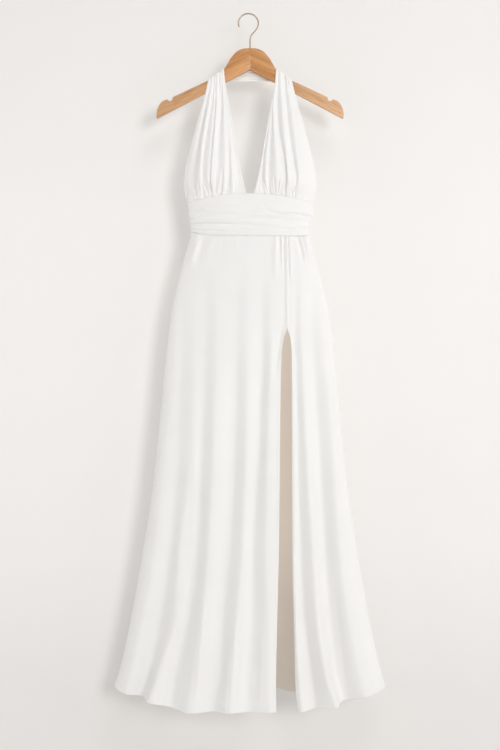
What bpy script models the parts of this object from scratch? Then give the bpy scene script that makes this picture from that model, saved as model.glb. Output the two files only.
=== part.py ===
"""Halter dress in white jersey, hung by its neck band on a wooden hanger.

Lengths are in millimetres and become metres where a mesh is made. X runs to the right as
seen from the front, -Y faces the viewer and Z is up. Heights are given as a drop below the
origin, which lies inside the crown of the hanger's hook, where a rail carries it. The tables
count X from the hanger's centre line. Each panel of cloth is a thin wall round a sheet of
points: a smooth sheet first, then its folds, then its thickness.
"""

from collections import namedtuple
from math import pi

import bmesh
import bpy
import numpy as np

MM = 0.001
CENTRE_LINE = 4.0
CLOTH = 1.5
SEAM_GAP = 0.3
ROUNDING = 2.3

# Driving heights of the dress, all as drops below the origin
V_POINT = 426.5
BAND_TOP_RISE = 20.5
BAND_TOP_SIDE = V_POINT + BAND_TOP_RISE
WAIST_SIDE = 517.0
WAIST_FRONT = 524.5
HEM_FRONT = 1626.0
HEM_SIDE = 1581.0
SLIT_TOP = 738.0

# Sections of the dress below the bust, at drops measured down the side seams
Section = namedtuple("Section", "drop half_width front back")
SECTIONS = [
    Section(447, 147, 30, 20),
    Section(470, 144.5, 29, 20),
    Section(500, 139.5, 28, 21),
    Section(517, 139, 28, 22),
    Section(555, 148, 30, 23),
    Section(626, 167, 32, 24),
    Section(697, 183, 34, 25),
    Section(791, 195, 36, 27),
    Section(932, 209, 40, 30),
    Section(1120, 229, 45, 34),
    Section(1308, 259, 50, 39),
    Section(1496, 295, 55, 43),
    Section(1581, 317, 58, 46),
]

# Lower seam of the waistband, and how far the hem rises above its lowest point
Level = namedtuple("Level", "across front back")
WAIST_SEAM = [
    Level(-1.00, 513.0, 513.0),
    Level(-0.80, 520.5, 516.0),
    Level(-0.45, 524.0, 520.0),
    Level(0.60, WAIST_FRONT, 522.0),
    Level(1.00, 522.0, 522.0),
]
HEM_RISE = [
    Level(-1.00, 45, 45),
    Level(-0.90, 35, 40),
    Level(-0.72, 23, 32),
    Level(-0.54, 5, 27),
    Level(-0.40, 0, 24),
    Level(0.32, 0, 23),
    Level(0.45, 5, 24),
    Level(0.60, 14, 28),
    Level(0.88, 34, 39),
    Level(1.00, 45, 45),
]

# Edges of the slit, which is sewn shut above its top
Slit = namedtuple("Slit", "drop left right")
SLIT = [
    Slit(WAIST_FRONT, 85.0, 85.0),
    Slit(SLIT_TOP, 86.0, 86.0),
    Slit(764, 78.5, 93.0),
    Slit(802, 73.0, 96.5),
    Slit(860, 71.0, 97.0),
    Slit(1277, 66.0, 98.0),
    Slit(1450, 61.5, 102.0),
    Slit(1569, 59.5, 105.0),
    Slit(1626, 60.0, 111.0),
]

# Crests and troughs of the skirt's folds, in order across each panel: X of the line and how far
# it stands out, at six drops. A trough has a negative lift. Lean moves a crest sideways at the hem.
Fold = namedtuple("Fold", "x lift lean", defaults=(0.0,))
FOLD_DROPS = (740, 975, 1275, 1409, 1542, 1612)
FOLD_START = 560.0
FOLD_GROWTH = 180.0
LEAN_DROP = 1380.0
LEAN_SPREAD = 15.0
FRONT_LEFT_FOLDS = [
    Fold((-176, -194, -226, -250, -277, -292), (0.5, 2.5, 5.0, 6.0, 7.0, 6.0)),
    Fold((-157, -163, -187, -208, -240, -267), (-0.8, -3.0, -7.0, -10.0, -14.0, -15.0)),
    Fold((-131, -134, -164, -174, -209, -230), (0.4, 1.0, 2.5, 5.0, 10.0, 12.0), -9.0),
    Fold((-103, -109, -125, -142, -172, -184), (-1.0, -3.5, -6.5, -7.5, -8.0, -6.0)),
    Fold((-77, -82, -97, -109, -124, -136), (2.0, 5.5, 8.0, 10.0, 12.0, 12.0), -3.0),
    Fold((-31, -34, -49, -62, -70, -84), (-1.0, -3.5, -5.0, -6.0, -7.0, -6.0)),
    Fold((-6, -8, -19, -30, -44, -48), (1.5, 4.0, 6.0, 7.5, 9.0, 9.0), -2.0),
    Fold((28, 23, 8, 8, 1, -2), (-1.5, -4.0, -5.5, -6.0, -6.0, -4.0)),
    Fold((49, 43, 38, 42, 41, 42), (1.5, 4.0, 4.0, 4.0, 4.0, 4.0)),
]
FRONT_RIGHT_FOLDS = [
    Fold((95, 101, 102, 105, 112, 118), (0.4, 1.0, 2.0, 3.0, 4.5, 5.0)),
    Fold((106, 111, 118, 125, 141, 150), (-0.6, -2.5, -5.5, -7.5, -9.0, -8.0)),
    Fold((119, 128, 145, 153, 166, 186), (1.6, 5.0, 8.5, 11.0, 14.0, 16.0), 10.0),
    Fold((146, 159, 176, 187, 204, 222), (-1.5, -5.5, -9.0, -10.0, -12.0, -13.0)),
    Fold((168, 192, 209, 228, 253, 274), (1.0, 4.0, 7.0, 8.0, 9.0, 8.0)),
]
BACK_FOLDS = [
    Fold((-150, -172, -205, -226, -250, -262), (-0.8, -3.0, -6.0, -8.0, -11.0, -12.0)),
    Fold((-118, -136, -164, -180, -197, -206), (1.0, 3.5, 7.0, 9.0, 12.0, 13.0)),
    Fold((-90, -102, -120, -131, -145, -152), (-1.0, -3.0, -6.0, -8.0, -9.0, -9.0)),
    Fold((-60, -66, -76, -82, -86, -88), (1.5, 4.5, 8.0, 10.0, 12.0, 12.0)),
    Fold((-22, -22, -20, -16, -14, -12), (-1.0, -3.5, -7.0, -9.0, -10.0, -9.0)),
    Fold((20, 24, 32, 38, 46, 50), (1.0, 4.0, 7.0, 9.0, 11.0, 11.0)),
    Fold((52, 60, 76, 88, 102, 110), (-1.0, -3.5, -7.0, -9.0, -12.0, -12.0)),
    Fold((88, 104, 128, 142, 158, 168), (1.0, 4.0, 8.0, 10.0, 13.0, 14.0)),
    Fold((126, 146, 176, 196, 218, 230), (-0.8, -3.0, -6.0, -7.0, -9.0, -9.0)),
    Fold((160, 184, 220, 243, 270, 286), (0.5, 2.0, 4.0, 5.0, 6.0, 5.0)),
]

# Gathers sewn into the top of the skirt, each fading out at its reach down the panel
Gather = namedtuple("Gather", "across lift reach spread")
FRONT_LEFT_GATHERS = [
    Gather(0.10, 2.6, 0.16, 0.035),
    Gather(0.37, 0.9, 0.10, 0.040),
    Gather(0.63, 0.8, 0.09, 0.040),
    Gather(0.895, 1.8, 0.13, 0.016),
    Gather(0.950, 1.8, 0.12, 0.013),
]
FRONT_RIGHT_GATHERS = [
    Gather(0.17, 1.8, 0.14, 0.060),
    Gather(0.36, 1.9, 0.12, 0.060),
    Gather(0.58, 2.2, 0.13, 0.065),
    Gather(0.79, 2.4, 0.10, 0.065),
]
BACK_GATHERS = [
    Gather(0.12, 1.8, 0.12, 0.022),
    Gather(0.20, 1.6, 0.11, 0.020),
    Gather(0.33, 1.2, 0.14, 0.025),
    Gather(0.50, 1.2, 0.12, 0.025),
    Gather(0.67, 1.3, 0.13, 0.025),
    Gather(0.80, 1.7, 0.11, 0.020),
    Gather(0.88, 1.8, 0.12, 0.022),
]
SEAM_RIDGE = 1.3
SEAM_RIDGE_SPREAD = 3.0

# Ruches of the waistband: ridges that run across it between two places, with their height in
# the band at the left end, the middle and the right end
Ruche = namedtuple("Ruche", "start end left middle right lift spread")
FRONT_RUCHES = [
    Ruche(-1.00, -0.25, 0.34, 0.27, 0.27, 1.3, 0.045),
    Ruche(-1.00, 0.15, 0.50, 0.42, 0.46, 1.7, 0.045),
    Ruche(-1.00, 0.60, 0.65, 0.67, 0.76, 2.2, 0.050),
    Ruche(-1.00, -0.05, 0.86, 0.84, 0.90, 1.8, 0.045),
    Ruche(0.20, 1.00, 0.34, 0.38, 0.36, 1.7, 0.045),
    Ruche(0.05, 1.00, 0.50, 0.50, 0.54, 1.6, 0.045),
    Ruche(0.15, 1.00, 0.90, 0.88, 0.68, 1.9, 0.050),
]
BACK_RUCHES = [
    Ruche(-1.00, 0.30, 0.30, 0.22, 0.28, 1.6, 0.055),
    Ruche(-0.20, 1.00, 0.42, 0.46, 0.34, 1.7, 0.055),
    Ruche(-1.00, 0.10, 0.58, 0.52, 0.60, 1.9, 0.055),
    Ruche(-0.50, 1.00, 0.72, 0.74, 0.62, 1.8, 0.055),
    Ruche(-1.00, 1.00, 0.86, 0.90, 0.84, 1.5, 0.050),
]
BAND_ROLL = 1.4
BAND_ROLL_AT = 0.96

# Outline of a halter panel from the hanger's arm down to the bust seam, the same on each side
Halter = namedtuple(
    "Halter", "share inner_x inner_drop outer_x outer_drop inner_out crest_out outer_out"
)
HALTER = [
    Halter(0.00, 61.8, 129.9, 97.7, 156.2, 7.3, 7.3, 7.3),
    Halter(0.15, 56.7, 174.8, 108.0, 200.7, 9.2, 10.2, 8.0),
    Halter(0.35, 45.5, 234.8, 124.2, 258.2, 13.5, 17.0, 8.5),
    Halter(0.55, 35.4, 294.4, 139.3, 316.2, 18.5, 25.0, 8.0),
    Halter(0.75, 24.7, 353.5, 152.4, 373.9, 24.0, 33.0, 6.0),
    Halter(0.88, 17.2, 391.6, 155.0, 410.3, 27.5, 35.5, 3.0),
    Halter(1.00, 8.1, V_POINT, 147.0, BAND_TOP_SIDE, 30.0, 31.0, 0.0),
]
HALTER_CREST = 0.42
SEAM_BLEND = 0.86
LOOP_OUT = 7.2
LOOP_BEND = 2.7
LOOP_DEPTH = 6.0
LOOP_SHARE = 0.02

# Gathers of the halter panels, in the same way, with X counted outwards on both sides
PLEAT_DROPS = (164, 216, 281, 346, 389, 428)
LEFT_PLEATS = [
    Fold((62.3, 54.3, 42.9, 32.7, 28.2, 26.2), (0.2, 0.3, -0.2, -0.6, -0.9, -0.6)),
    Fold((62.8, 56.0, 47.0, 43.5, 42.2, 40.7), (0.4, 0.6, 0.8, 1.8, 2.4, 1.5)),
    Fold((63.3, 58.0, 50.4, 48.9, 48.5, 53.0), (0.8, 0.8, 0.6, -0.6, -1.2, -1.0)),
    Fold((64.2, 61.9, 60.8, 58.6, 60.1, 62.9), (1.2, 1.8, 2.0, 2.4, 2.6, 1.6)),
    Fold((66.8, 66.8, 70.7, 73.5, 72.0, 72.0), (-0.4, -1.2, -1.8, -1.4, -0.8, -0.8)),
    Fold((78.1, 78.5, 82.2, 87.1, 89.7, 86.0), (1.8, 2.8, 3.2, 3.6, 3.2, 1.6)),
    Fold((80.6, 81.7, 86.5, 91.2, 93.6, 90.2), (-0.4, -0.4, -0.3, -0.3, -0.6, -1.0)),
    Fold((82.6, 85.0, 91.0, 96.8, 99.0, 96.2), (0.4, 0.7, 0.6, 0.5, 0.4, 0.6)),
    Fold((85.0, 91.0, 100.7, 108.5, 110.7, 110.1), (-0.4, -1.2, -1.6, -1.6, -1.4, -1.0)),
    Fold((88.9, 96.2, 106.3, 113.5, 115.2, 114.8), (1.6, 2.4, 2.8, 3.0, 2.8, 1.6)),
    Fold((92.3, 105.1, 118.0, 128.8, 134.2, 130.0), (-0.4, -1.2, -2.2, -2.6, -1.8, -0.8)),
    Fold((94.6, 108.3, 124.9, 140.0, 147.0, 141.0), (0.3, 0.5, 0.5, 0.5, 0.3, 0.2)),
]
RIGHT_PLEATS = [
    Fold((59.6, 50.2, 38.9, 27.9, 20.5, 15.3), (0.1, 0.1, 0.3, 0.8, 1.2, 0.8)),
    Fold((60.1, 51.0, 40.6, 30.0, 27.4, 32.2), (0.2, 0.0, -0.3, -1.0, -1.6, -1.0)),
    Fold((60.6, 51.9, 43.6, 37.8, 36.1, 38.2), (0.4, 0.3, 1.0, 2.2, 2.8, 1.5)),
    Fold((61.1, 52.7, 49.2, 45.8, 44.0, 44.0), (0.8, 0.6, -0.8, -1.2, -1.0, -0.8)),
    Fold((61.8, 53.8, 56.4, 60.0, 61.1, 61.5), (1.2, 1.8, 2.6, 3.2, 3.0, 1.6)),
    Fold((65.4, 64.3, 68.0, 78.8, 83.6, 81.4), (-0.6, -1.4, -2.0, -2.0, -2.2, -1.2)),
    Fold((71.7, 74.3, 78.8, 84.9, 87.7, 84.4), (1.8, 2.8, 3.2, 3.6, 3.2, 1.6)),
    Fold((80.5, 85.7, 91.8, 101.5, 107.5, 103.0), (-0.5, -1.2, -1.8, -1.8, -1.8, -1.0)),
    Fold((85.7, 94.1, 102.4, 108.8, 112.1, 107.8), (1.2, 2.0, 2.4, 2.8, 2.4, 1.0)),
]
NECK_RIDGES = (0.17, 0.46, 0.76)
NECK_RIDGE_LIFT = 2.0
NECK_RIDGE_SPREAD = 0.10

# Hanger: outline of one wooden arm, its notch for straps, and the hook's wire
Arm = namedtuple("Arm", "out top")
ARM_TOP = [
    Arm(0.0, 81.0),
    Arm(14.0, 82.4),
    Arm(28.0, 87.4),
    Arm(43.7, 103.0),
    Arm(60.0, 129.8),
    Arm(71.0, 142.0),
    Arm(84.0, 150.8),
    Arm(97.5, 157.4),
    Arm(138.0, 176.0),
]
NOTCH_OUT = 188.0
NOTCH_RADIUS = 6.0
NOTCH_DEPTH = 9.0
ARM_SLOPE = 0.473
ARM_UNDERSIDE = 130.6
UNDERSIDE_SLOPE = 0.527
TIP_OUT = 220.0
TIP_LENGTH = 25.0
ARM_THICKNESS = 12.0
ARM_EDGE = 1.6
MITRE_GAP = 0.3

WIRE = 3.2
HOOK_RADIUS = 23.4
HOOK_TIP_ANGLE = 197.0
HOOK_NECK_ANGLE = -28.0
STEM_TURN = 62.0
STEM_SEAT = 16.0
STEM_CLEARANCE = 0.3

WHITE_JERSEY = ("white_jersey", (0.86, 0.85, 0.83), 0.55, 0.0)
BEECH = ("beech_wood", (0.62, 0.37, 0.18), 0.45, 0.0)
WARM_STEEL = ("warm_steel", (0.62, 0.52, 0.44), 0.25, 1.0)


# Curves through tables
def smooth(rows, name, at):
    """One column of a table as a smooth curve without overshoot, read by its first column."""
    known = np.array([row[0] for row in rows], float)
    value = np.array([getattr(row, name) for row in rows], float)
    return smooth_through(known, value, at)


def smooth_through(known, value, at):
    """A cubic through points, whose slope is zero at each local high or low."""
    known = np.asarray(known, float)
    value = np.asarray(value, float)
    slope = np.diff(value) / np.diff(known)
    steady = slope[:-1] * slope[1:] > 0
    total = np.where(steady, slope[:-1] + slope[1:], 1.0)
    inner = np.where(steady, 2 * slope[:-1] * slope[1:] / total, 0.0)
    tangent = np.concatenate([slope[:1], inner, slope[-1:]])
    at = np.clip(at, known[0], known[-1])
    i = np.clip(np.searchsorted(known, at) - 1, 0, len(slope) - 1)
    width = known[i + 1] - known[i]
    f = (at - known[i]) / width
    start = (1 + 2 * f) * (1 - f) ** 2 * value[i] + f * (1 - f) ** 2 * width * tangent[i]
    end = f**2 * (3 - 2 * f) * value[i + 1] - f**2 * (1 - f) * width * tangent[i + 1]
    return start + end


def ease(x):
    """0 below 0 and 1 above 1, with a smooth step between."""
    x = np.clip(x, 0.0, 1.0)
    return x * x * (3 - 2 * x)


def bump(distance, spread):
    return np.exp(-((distance / spread) ** 2))


def spans(*runs):
    """Places from 0 to 1 in runs of (end, steps), so that some stretches are finer."""
    places = [0.0]
    for end, steps in runs:
        places += list(np.linspace(places[-1], end, steps + 1)[1:])
    return np.array(places)


# The flattened tube that the waistband and the skirt follow
def half_tube(half_width, depth, x_from, x_to, shares):
    """Points at even shares along half of a flattened tube, between two X positions."""
    angle = np.linspace(0, pi, 1201)
    x = -half_width * np.sign(np.cos(angle)) * np.abs(np.cos(angle)) ** (2 / ROUNDING)
    y = depth * np.abs(np.sin(angle)) ** (2 / ROUNDING)
    along = np.concatenate([[0], np.cumsum(np.hypot(np.diff(x), np.diff(y)))])
    start = np.interp(x_from, x, along)
    end = np.interp(x_to, x, along)
    wanted = start + (end - start) * shares
    return np.interp(wanted, along, x), np.interp(wanted, along, y)


def band_top(x):
    """Drop of the seam between bodice and waistband."""
    return V_POINT + BAND_TOP_RISE * (x / SECTIONS[0].half_width) ** 2


def skirt_sheet(shares, downs, left_edge, right_edge, face):
    """Smooth sheet of a skirt panel between two edges, each a function of the way down."""
    sheet = []
    for down in downs:
        side_drop = WAIST_SIDE + (HEM_SIDE - WAIST_SIDE) * down
        half_width = float(smooth(SECTIONS, "half_width", side_drop))
        depth = float(smooth(SECTIONS, face, side_drop))
        x, y = half_tube(
            half_width, depth, left_edge(half_width, down), right_edge(half_width, down), shares
        )
        top = smooth(WAIST_SEAM, face, x / half_width) + SEAM_GAP
        hem = HEM_FRONT - smooth(HEM_RISE, face, x / half_width)
        drop = top + (hem - top) * down
        sheet.append(np.stack([x, -y if face == "front" else y, -drop], axis=-1))
    return np.array(sheet)


def fold_lift(folds, drops, sheet):
    """Lift and sideways push of each point, smooth along every row from line to line."""
    lift = np.zeros(sheet.shape[:2])
    push = np.zeros_like(lift)
    for r, row in enumerate(sheet):
        x, drop = row[:, 0], -row[:, 2]
        places, heights = [x[0]], [0.0]
        for fold in folds:
            near = smooth_through(drops, fold.x, drop.mean())
            level_drop = np.interp(near, x, drop)
            at = smooth_through(drops, fold.x, level_drop)
            if places[-1] + 0.3 < at < x[-1] - 1.0:
                places.append(at)
                heights.append(smooth_through(drops, fold.lift, level_drop))
            grown = ease((level_drop - LEAN_DROP) / (HEM_FRONT - LEAN_DROP))
            push[r] += fold.lean * grown * bump(x - at, LEAN_SPREAD)
        lift[r] = smooth_through(places + [x[-1]], heights + [0.0], x)
    return lift, push


def skirt_folds(folds, sheet):
    """The folds of a skirt panel, which grow from nothing below the waist."""
    lift, push = fold_lift(folds, FOLD_DROPS, sheet)
    return lift * ease((-sheet[..., 2] - FOLD_START) / FOLD_GROWTH), push


def gather_lift(gathers, shares, downs):
    """Gathers that start full height at the top seam and fade out down the panel."""
    lift = np.zeros((len(downs), len(shares)))
    for gather in gathers:
        height = gather.lift * (1 - ease(downs / gather.reach))
        wider = gather.spread * (1 + 1.2 * downs / gather.reach)
        lift += height[:, None] * bump(shares[None, :] - gather.across, wider[:, None])
    return lift


def slit_down():
    return (SLIT_TOP - WAIST_FRONT) / (HEM_FRONT - WAIST_FRONT)


def slit_edge(side, down):
    drop = WAIST_FRONT + (HEM_FRONT - WAIST_FRONT) * down
    return float(smooth(SLIT, side, drop))


# Walls of cloth from sheets of points
def normals_of(sheet, outward):
    """Unit normals of a sheet, on the side that the outward sign gives."""
    across = np.gradient(sheet, axis=1)
    along = np.gradient(sheet, axis=0)
    normal = np.cross(across, along) * outward
    return normal / np.linalg.norm(normal, axis=-1, keepdims=True)


def level(normals, rows=(), columns=()):
    """Turns the normals along seams level, so that sewn edges meet face to face."""
    for row in rows:
        normals[row, :, 2] = 0
    for column in columns:
        normals[:, column, 1:] = 0
    return normals / np.linalg.norm(normals, axis=-1, keepdims=True)


def moved(sheet, normals, lift, push=None):
    out = sheet + normals * lift[..., None]
    if push is not None:
        out[..., 0] += push
    return out


def material(look):
    name, colour, roughness, metallic = look
    made = bpy.data.materials.get(name) or bpy.data.materials.new(name)
    made.use_nodes = True
    shader = made.node_tree.nodes["Principled BSDF"]
    shader.inputs["Base Color"].default_value = (*colour, 1)
    shader.inputs["Roughness"].default_value = roughness
    shader.inputs["Metallic"].default_value = metallic
    return made


def mesh_object(name, points, faces, look, hang):
    """A closed mesh from points in millimetres, hung on the given empty."""
    mesh = bpy.data.meshes.new(name)
    mesh.from_pydata([tuple(p) for p in np.asarray(points) * MM], [], faces)
    made = bmesh.new()
    made.from_mesh(mesh)
    bmesh.ops.recalc_face_normals(made, faces=made.faces)
    made.to_mesh(mesh)
    made.free()
    mesh.shade_smooth()
    mesh.set_sharp_from_angle(angle=pi / 4)
    mesh.materials.append(material(look))
    thing = bpy.data.objects.new(name, mesh)
    thing.parent = hang
    bpy.context.scene.collection.objects.link(thing)
    return thing


def wall(name, sheet, normals, hang, look=WHITE_JERSEY):
    """A wall of cloth: the sheet moved half a thickness each way, closed round its rim."""
    rows, columns = sheet.shape[:2]
    count = rows * columns
    points = np.concatenate(
        [
            (sheet + normals * CLOTH / 2).reshape(-1, 3),
            (sheet - normals * CLOTH / 2).reshape(-1, 3),
        ]
    )
    faces = []
    for r in range(rows - 1):
        for c in range(columns - 1):
            a = r * columns + c
            quad = (a, a + 1, a + columns + 1, a + columns)
            faces.append(quad)
            faces.append(tuple(count + i for i in reversed(quad)))
    rim = [c for c in range(columns)]
    rim += [r * columns + columns - 1 for r in range(1, rows)]
    rim += [(rows - 1) * columns + c for c in range(columns - 2, -1, -1)]
    rim += [r * columns for r in range(rows - 2, 0, -1)]
    for a, b in zip(rim, rim[1:] + rim[:1]):
        faces.append((b, a, count + a, count + b))
    return mesh_object(name, points, faces, look, hang)


# Skirt
def front_left_skirt(hang):
    shares = spans((0.84, 21), (1.0, 8))
    downs = skirt_rows()
    half_gap = SEAM_GAP / 2
    sheet = skirt_sheet(
        shares,
        downs,
        lambda half_width, down: -half_width,
        lambda half_width, down: slit_edge("left", down) - half_gap,
        "front",
    )
    sheet[:, 0, 1] = -half_gap
    lift, push = skirt_folds(FRONT_LEFT_FOLDS, sheet)
    fade = side_fade(shares) * sewn_fade(1 - shares, downs)
    lift = lift * fade + gather_lift(FRONT_LEFT_GATHERS, shares, downs)
    lift += ridge(sheet, downs, -1)
    finish_skirt("skirt_front_left", sheet, lift, push * fade, (0,), hang, slit_column=-1)


def front_right_skirt(hang):
    shares = spans((1.0, 18))
    downs = skirt_rows()
    half_gap = SEAM_GAP / 2
    sheet = skirt_sheet(
        shares,
        downs,
        lambda half_width, down: slit_edge("right", down) + half_gap,
        lambda half_width, down: half_width,
        "front",
    )
    sheet[:, -1, 1] = -half_gap
    lift, push = skirt_folds(FRONT_RIGHT_FOLDS, sheet)
    fade = side_fade(1 - shares) * sewn_fade(shares, downs)
    lift = lift * fade + gather_lift(FRONT_RIGHT_GATHERS, shares, downs) * side_fade(1 - shares)
    lift += ridge(sheet, downs, 0)
    finish_skirt("skirt_front_right", sheet, lift, push * fade, (-1,), hang, slit_column=0)


def back_skirt(hang):
    shares = spans((1.0, 34))
    downs = skirt_rows()
    half_gap = SEAM_GAP / 2
    sheet = skirt_sheet(
        shares,
        downs,
        lambda half_width, down: -half_width,
        lambda half_width, down: half_width,
        "back",
    )
    sheet[:, [0, -1], 1] = half_gap
    lift, push = skirt_folds(BACK_FOLDS, sheet)
    fade = side_fade(shares) * side_fade(1 - shares)
    lift = (lift + gather_lift(BACK_GATHERS, shares, downs)) * fade
    finish_skirt("skirt_back", sheet, lift, push * fade, (0, -1), hang)


def skirt_rows():
    """Rows down a skirt panel, closer at the gathers and round the top of the slit."""
    top = slit_down()
    return np.array(
        [0, 0.02, 0.045, 0.075, 0.11, 0.15, top, top + 0.024, top + 0.06, 0.31]
        + list(np.linspace(0.40, 1.0, 7))
    )


def side_fade(shares):
    """Folds die away towards a side seam, which is at share 0."""
    return ease(shares / 0.05)[None, :]


def sewn_fade(shares, downs):
    """Folds die away towards the sewn stretch above the slit, which is at share 0."""
    near = 1 - ease(shares / 0.07)[None, :]
    sewn = 1 - ease((downs - slit_down()) / 0.05)[:, None]
    return 1 - near * sewn


def ridge(sheet, downs, edge):
    """The raised seam that runs from the waist down to the top of the slit."""
    away = np.abs(sheet[..., 0] - sheet[:, edge, 0][:, None])
    sewn = 1 - ease((downs - slit_down()) / 0.03)
    return SEAM_RIDGE * sewn[:, None] * bump(away, SEAM_RIDGE_SPREAD)


def finish_skirt(name, sheet, lift, push, side_columns, hang, slit_column=None):
    outward = -1 if name.startswith("skirt_front") else 1
    sewn_rows = np.count_nonzero(skirt_rows() <= slit_down()) if slit_column is not None else 0

    def seam_normals(points):
        normals = normals_of(points, outward)
        if sewn_rows:
            normals[:sewn_rows, slit_column, 0] = 0
        return level(normals, rows=(0,), columns=side_columns)

    folded = moved(sheet, seam_normals(sheet), lift, push)
    wall(name, folded, seam_normals(folded), hang)


# Waistband
def band_sheet(across, heights, face):
    """Smooth sheet of half of the waistband, from its top seam down to the skirt."""
    half_gap = SEAM_GAP / 2
    shares = (across + 1) / 2
    sheet = []
    for height in heights:
        side_drop = BAND_TOP_SIDE + (WAIST_SIDE - BAND_TOP_SIDE) * height
        half_width = float(smooth(SECTIONS, "half_width", side_drop))
        depth = float(smooth(SECTIONS, face, side_drop))
        x, y = half_tube(half_width, depth, -half_width, half_width, shares)
        place = x / half_width
        top = band_top(x) if face == "front" else back_band_top(place)
        low = smooth(WAIST_SEAM, face, place)
        y[[0, -1]] = half_gap
        sheet.append(np.stack([x, -y if face == "front" else y, -(top + (low - top) * height)], axis=-1))
    return np.array(sheet)


def back_band_top(place):
    return BAND_TOP_SIDE + 4.0 * (1 - place**2)


def ruche_lift(ruches, across, heights):
    lift = np.zeros((len(heights), len(across)))
    for ruche in ruches:
        ends = (ruche.start, (ruche.start + ruche.end) / 2, ruche.end)
        at = smooth_through(ends, (ruche.left, ruche.middle, ruche.right), across)
        fade = ease((across - ruche.start + 0.25) / 0.25) * ease((ruche.end + 0.25 - across) / 0.25)
        shape = bump(heights[:, None] - at[None, :], ruche.spread)
        lift += ruche.lift * fade[None, :] * shape
    lift += BAND_ROLL * bump(heights[:, None] - BAND_ROLL_AT, 0.05)
    return lift


def waistband(face, ruches, columns, hang):
    across = np.linspace(-1, 1, columns)
    heights = spans((0.2, 2), (1.0, 11))
    sheet = band_sheet(across, heights, face)
    inward = ease((1 - np.abs(across)) / 0.04)[None, :]
    edges = ease(heights / 0.1)[:, None] * (0.35 + 0.65 * ease((1 - heights) / 0.04))[:, None]
    lift = ruche_lift(ruches, across, heights) * inward * edges
    outward = -1 if face == "front" else 1
    flat = level(normals_of(sheet, outward), rows=(0, -1), columns=(0, -1))
    folded = moved(sheet, flat, lift)
    turned = level(normals_of(folded, outward), rows=(0, -1), columns=(0, -1))
    wall(f"waistband_{face}", folded, turned, hang)


# Halter panels and the neck band
def halter_row(down, shares):
    """One row across a halter panel, at a share of the way down from arm to bust seam."""
    inner_x = float(smooth(HALTER, "inner_x", down))
    outer_x = float(smooth(HALTER, "outer_x", down))
    inner_out = float(smooth(HALTER, "inner_out", down))
    crest_out = float(smooth(HALTER, "crest_out", down))
    outer_out = float(smooth(HALTER, "outer_out", down))
    blend = float(ease((down - SEAM_BLEND) / (1 - SEAM_BLEND)))
    fine = np.linspace(0, 1, 401)
    x = inner_x + (outer_x - inner_x) * fine
    rise = np.sin(pi / 2 * np.minimum(fine / HALTER_CREST, 1))
    inside = inner_out + (crest_out - inner_out) * rise
    past = np.clip((fine - HALTER_CREST) / (1 - HALTER_CREST), 0, 1)
    free = inside + (outer_out - crest_out) * past**2.6
    top = SECTIONS[0]
    inner_part = np.clip(1 - (x / top.half_width) ** ROUNDING, 0, 1)
    out = (1 - blend) * free + blend * top.front * inner_part ** (1 / ROUNDING)
    along = np.concatenate([[0], np.cumsum(np.hypot(np.diff(x), np.diff(out)))])
    wanted = along[-1] * shares
    x = np.interp(wanted, along, x)
    out = np.interp(wanted, along, out)
    inner_drop = float(smooth(HALTER, "inner_drop", down))
    outer_drop = float(smooth(HALTER, "outer_drop", down))
    hung = inner_drop + (outer_drop - inner_drop) * shares ** (1 + down)
    seam = V_POINT + BAND_TOP_RISE * shares**2
    drop = hung + blend * (band_top(x) - SEAM_GAP - seam)
    return x, out, drop


def loop_over_arm():
    """Path over the arm, from behind to the front, as (distance behind, distance below)."""
    flat = LOOP_OUT - LOOP_BEND
    slant = LOOP_BEND * np.sqrt(0.5)
    back = [(LOOP_OUT, LOOP_DEPTH), (LOOP_OUT, LOOP_BEND), (flat + slant, LOOP_BEND - slant)]
    return back + [(flat, 0.0), (-flat, 0.0), (-flat - slant, LOOP_BEND - slant), (-LOOP_OUT, LOOP_BEND)]


def halter_sheet(shares, downs):
    """Right-hand halter panel: behind the arm, over its top edge and down the front.

    Behind the arm the panel turns towards the neck band, and in front it hangs.
    """
    sheet = []
    line_x, _, line_drop = halter_row(0.0, shares)
    for behind, below in loop_over_arm():
        if behind > 0:
            x, drop = line_x - below, line_drop
        else:
            x, _, drop = halter_row(LOOP_SHARE * below / LOOP_DEPTH, shares)
        sheet.append(np.stack([x, np.full_like(x, behind), -drop], axis=-1))
    for down in downs:
        x, out, drop = halter_row(down, shares)
        sheet.append(np.stack([x, -out, -drop], axis=-1))
    return np.array(sheet)


def halter_panel(name, pleats, side, hang):
    shares = spans((0.10, 3), (0.88, 29), (1.0, 3))
    downs = np.array([LOOP_SHARE, 0.12, 0.26, 0.41, 0.56, 0.68, 0.78, 0.86, 0.92, 0.965, 1.0])
    sheet = halter_sheet(shares, downs)
    sheet[0, :, 0] += SEAM_GAP / 2
    lift, _ = fold_lift(pleats, PLEAT_DROPS, sheet)
    normals = halter_normals(sheet)
    folded = moved(sheet, normals, lift)
    normals = halter_normals(folded)
    folded[..., 0] *= side
    normals[..., 0] *= side
    wall(name, folded, normals, hang)


def halter_normals(sheet):
    """Normals that are level at the bust seam and face straight back at the neck seam."""
    normals = level(normals_of(sheet, -1), rows=(-1,))
    normals[0] = (0, 1, 0)
    return normals


def neck_band(hang):
    """The band behind the neck, from one halter panel to the other."""
    shares = spans((1.0, 12))
    line_x, _, line_drop = halter_row(0.0, shares)
    reach = line_x - LOOP_DEPTH - SEAM_GAP / 2
    places = np.linspace(-1, 1, 13)
    sheet = np.stack(
        [
            np.stack([reach * place, np.full_like(reach, LOOP_OUT), -line_drop], axis=-1)
            for place in places
        ]
    )
    lift = sum(
        NECK_RIDGE_LIFT * bump(shares - at, NECK_RIDGE_SPREAD) for at in NECK_RIDGES
    )
    sheet[..., 1] += lift[None, :]
    normals = np.zeros_like(sheet)
    normals[..., 1] = 1
    wall("neck_band", sheet, normals, hang)


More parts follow.
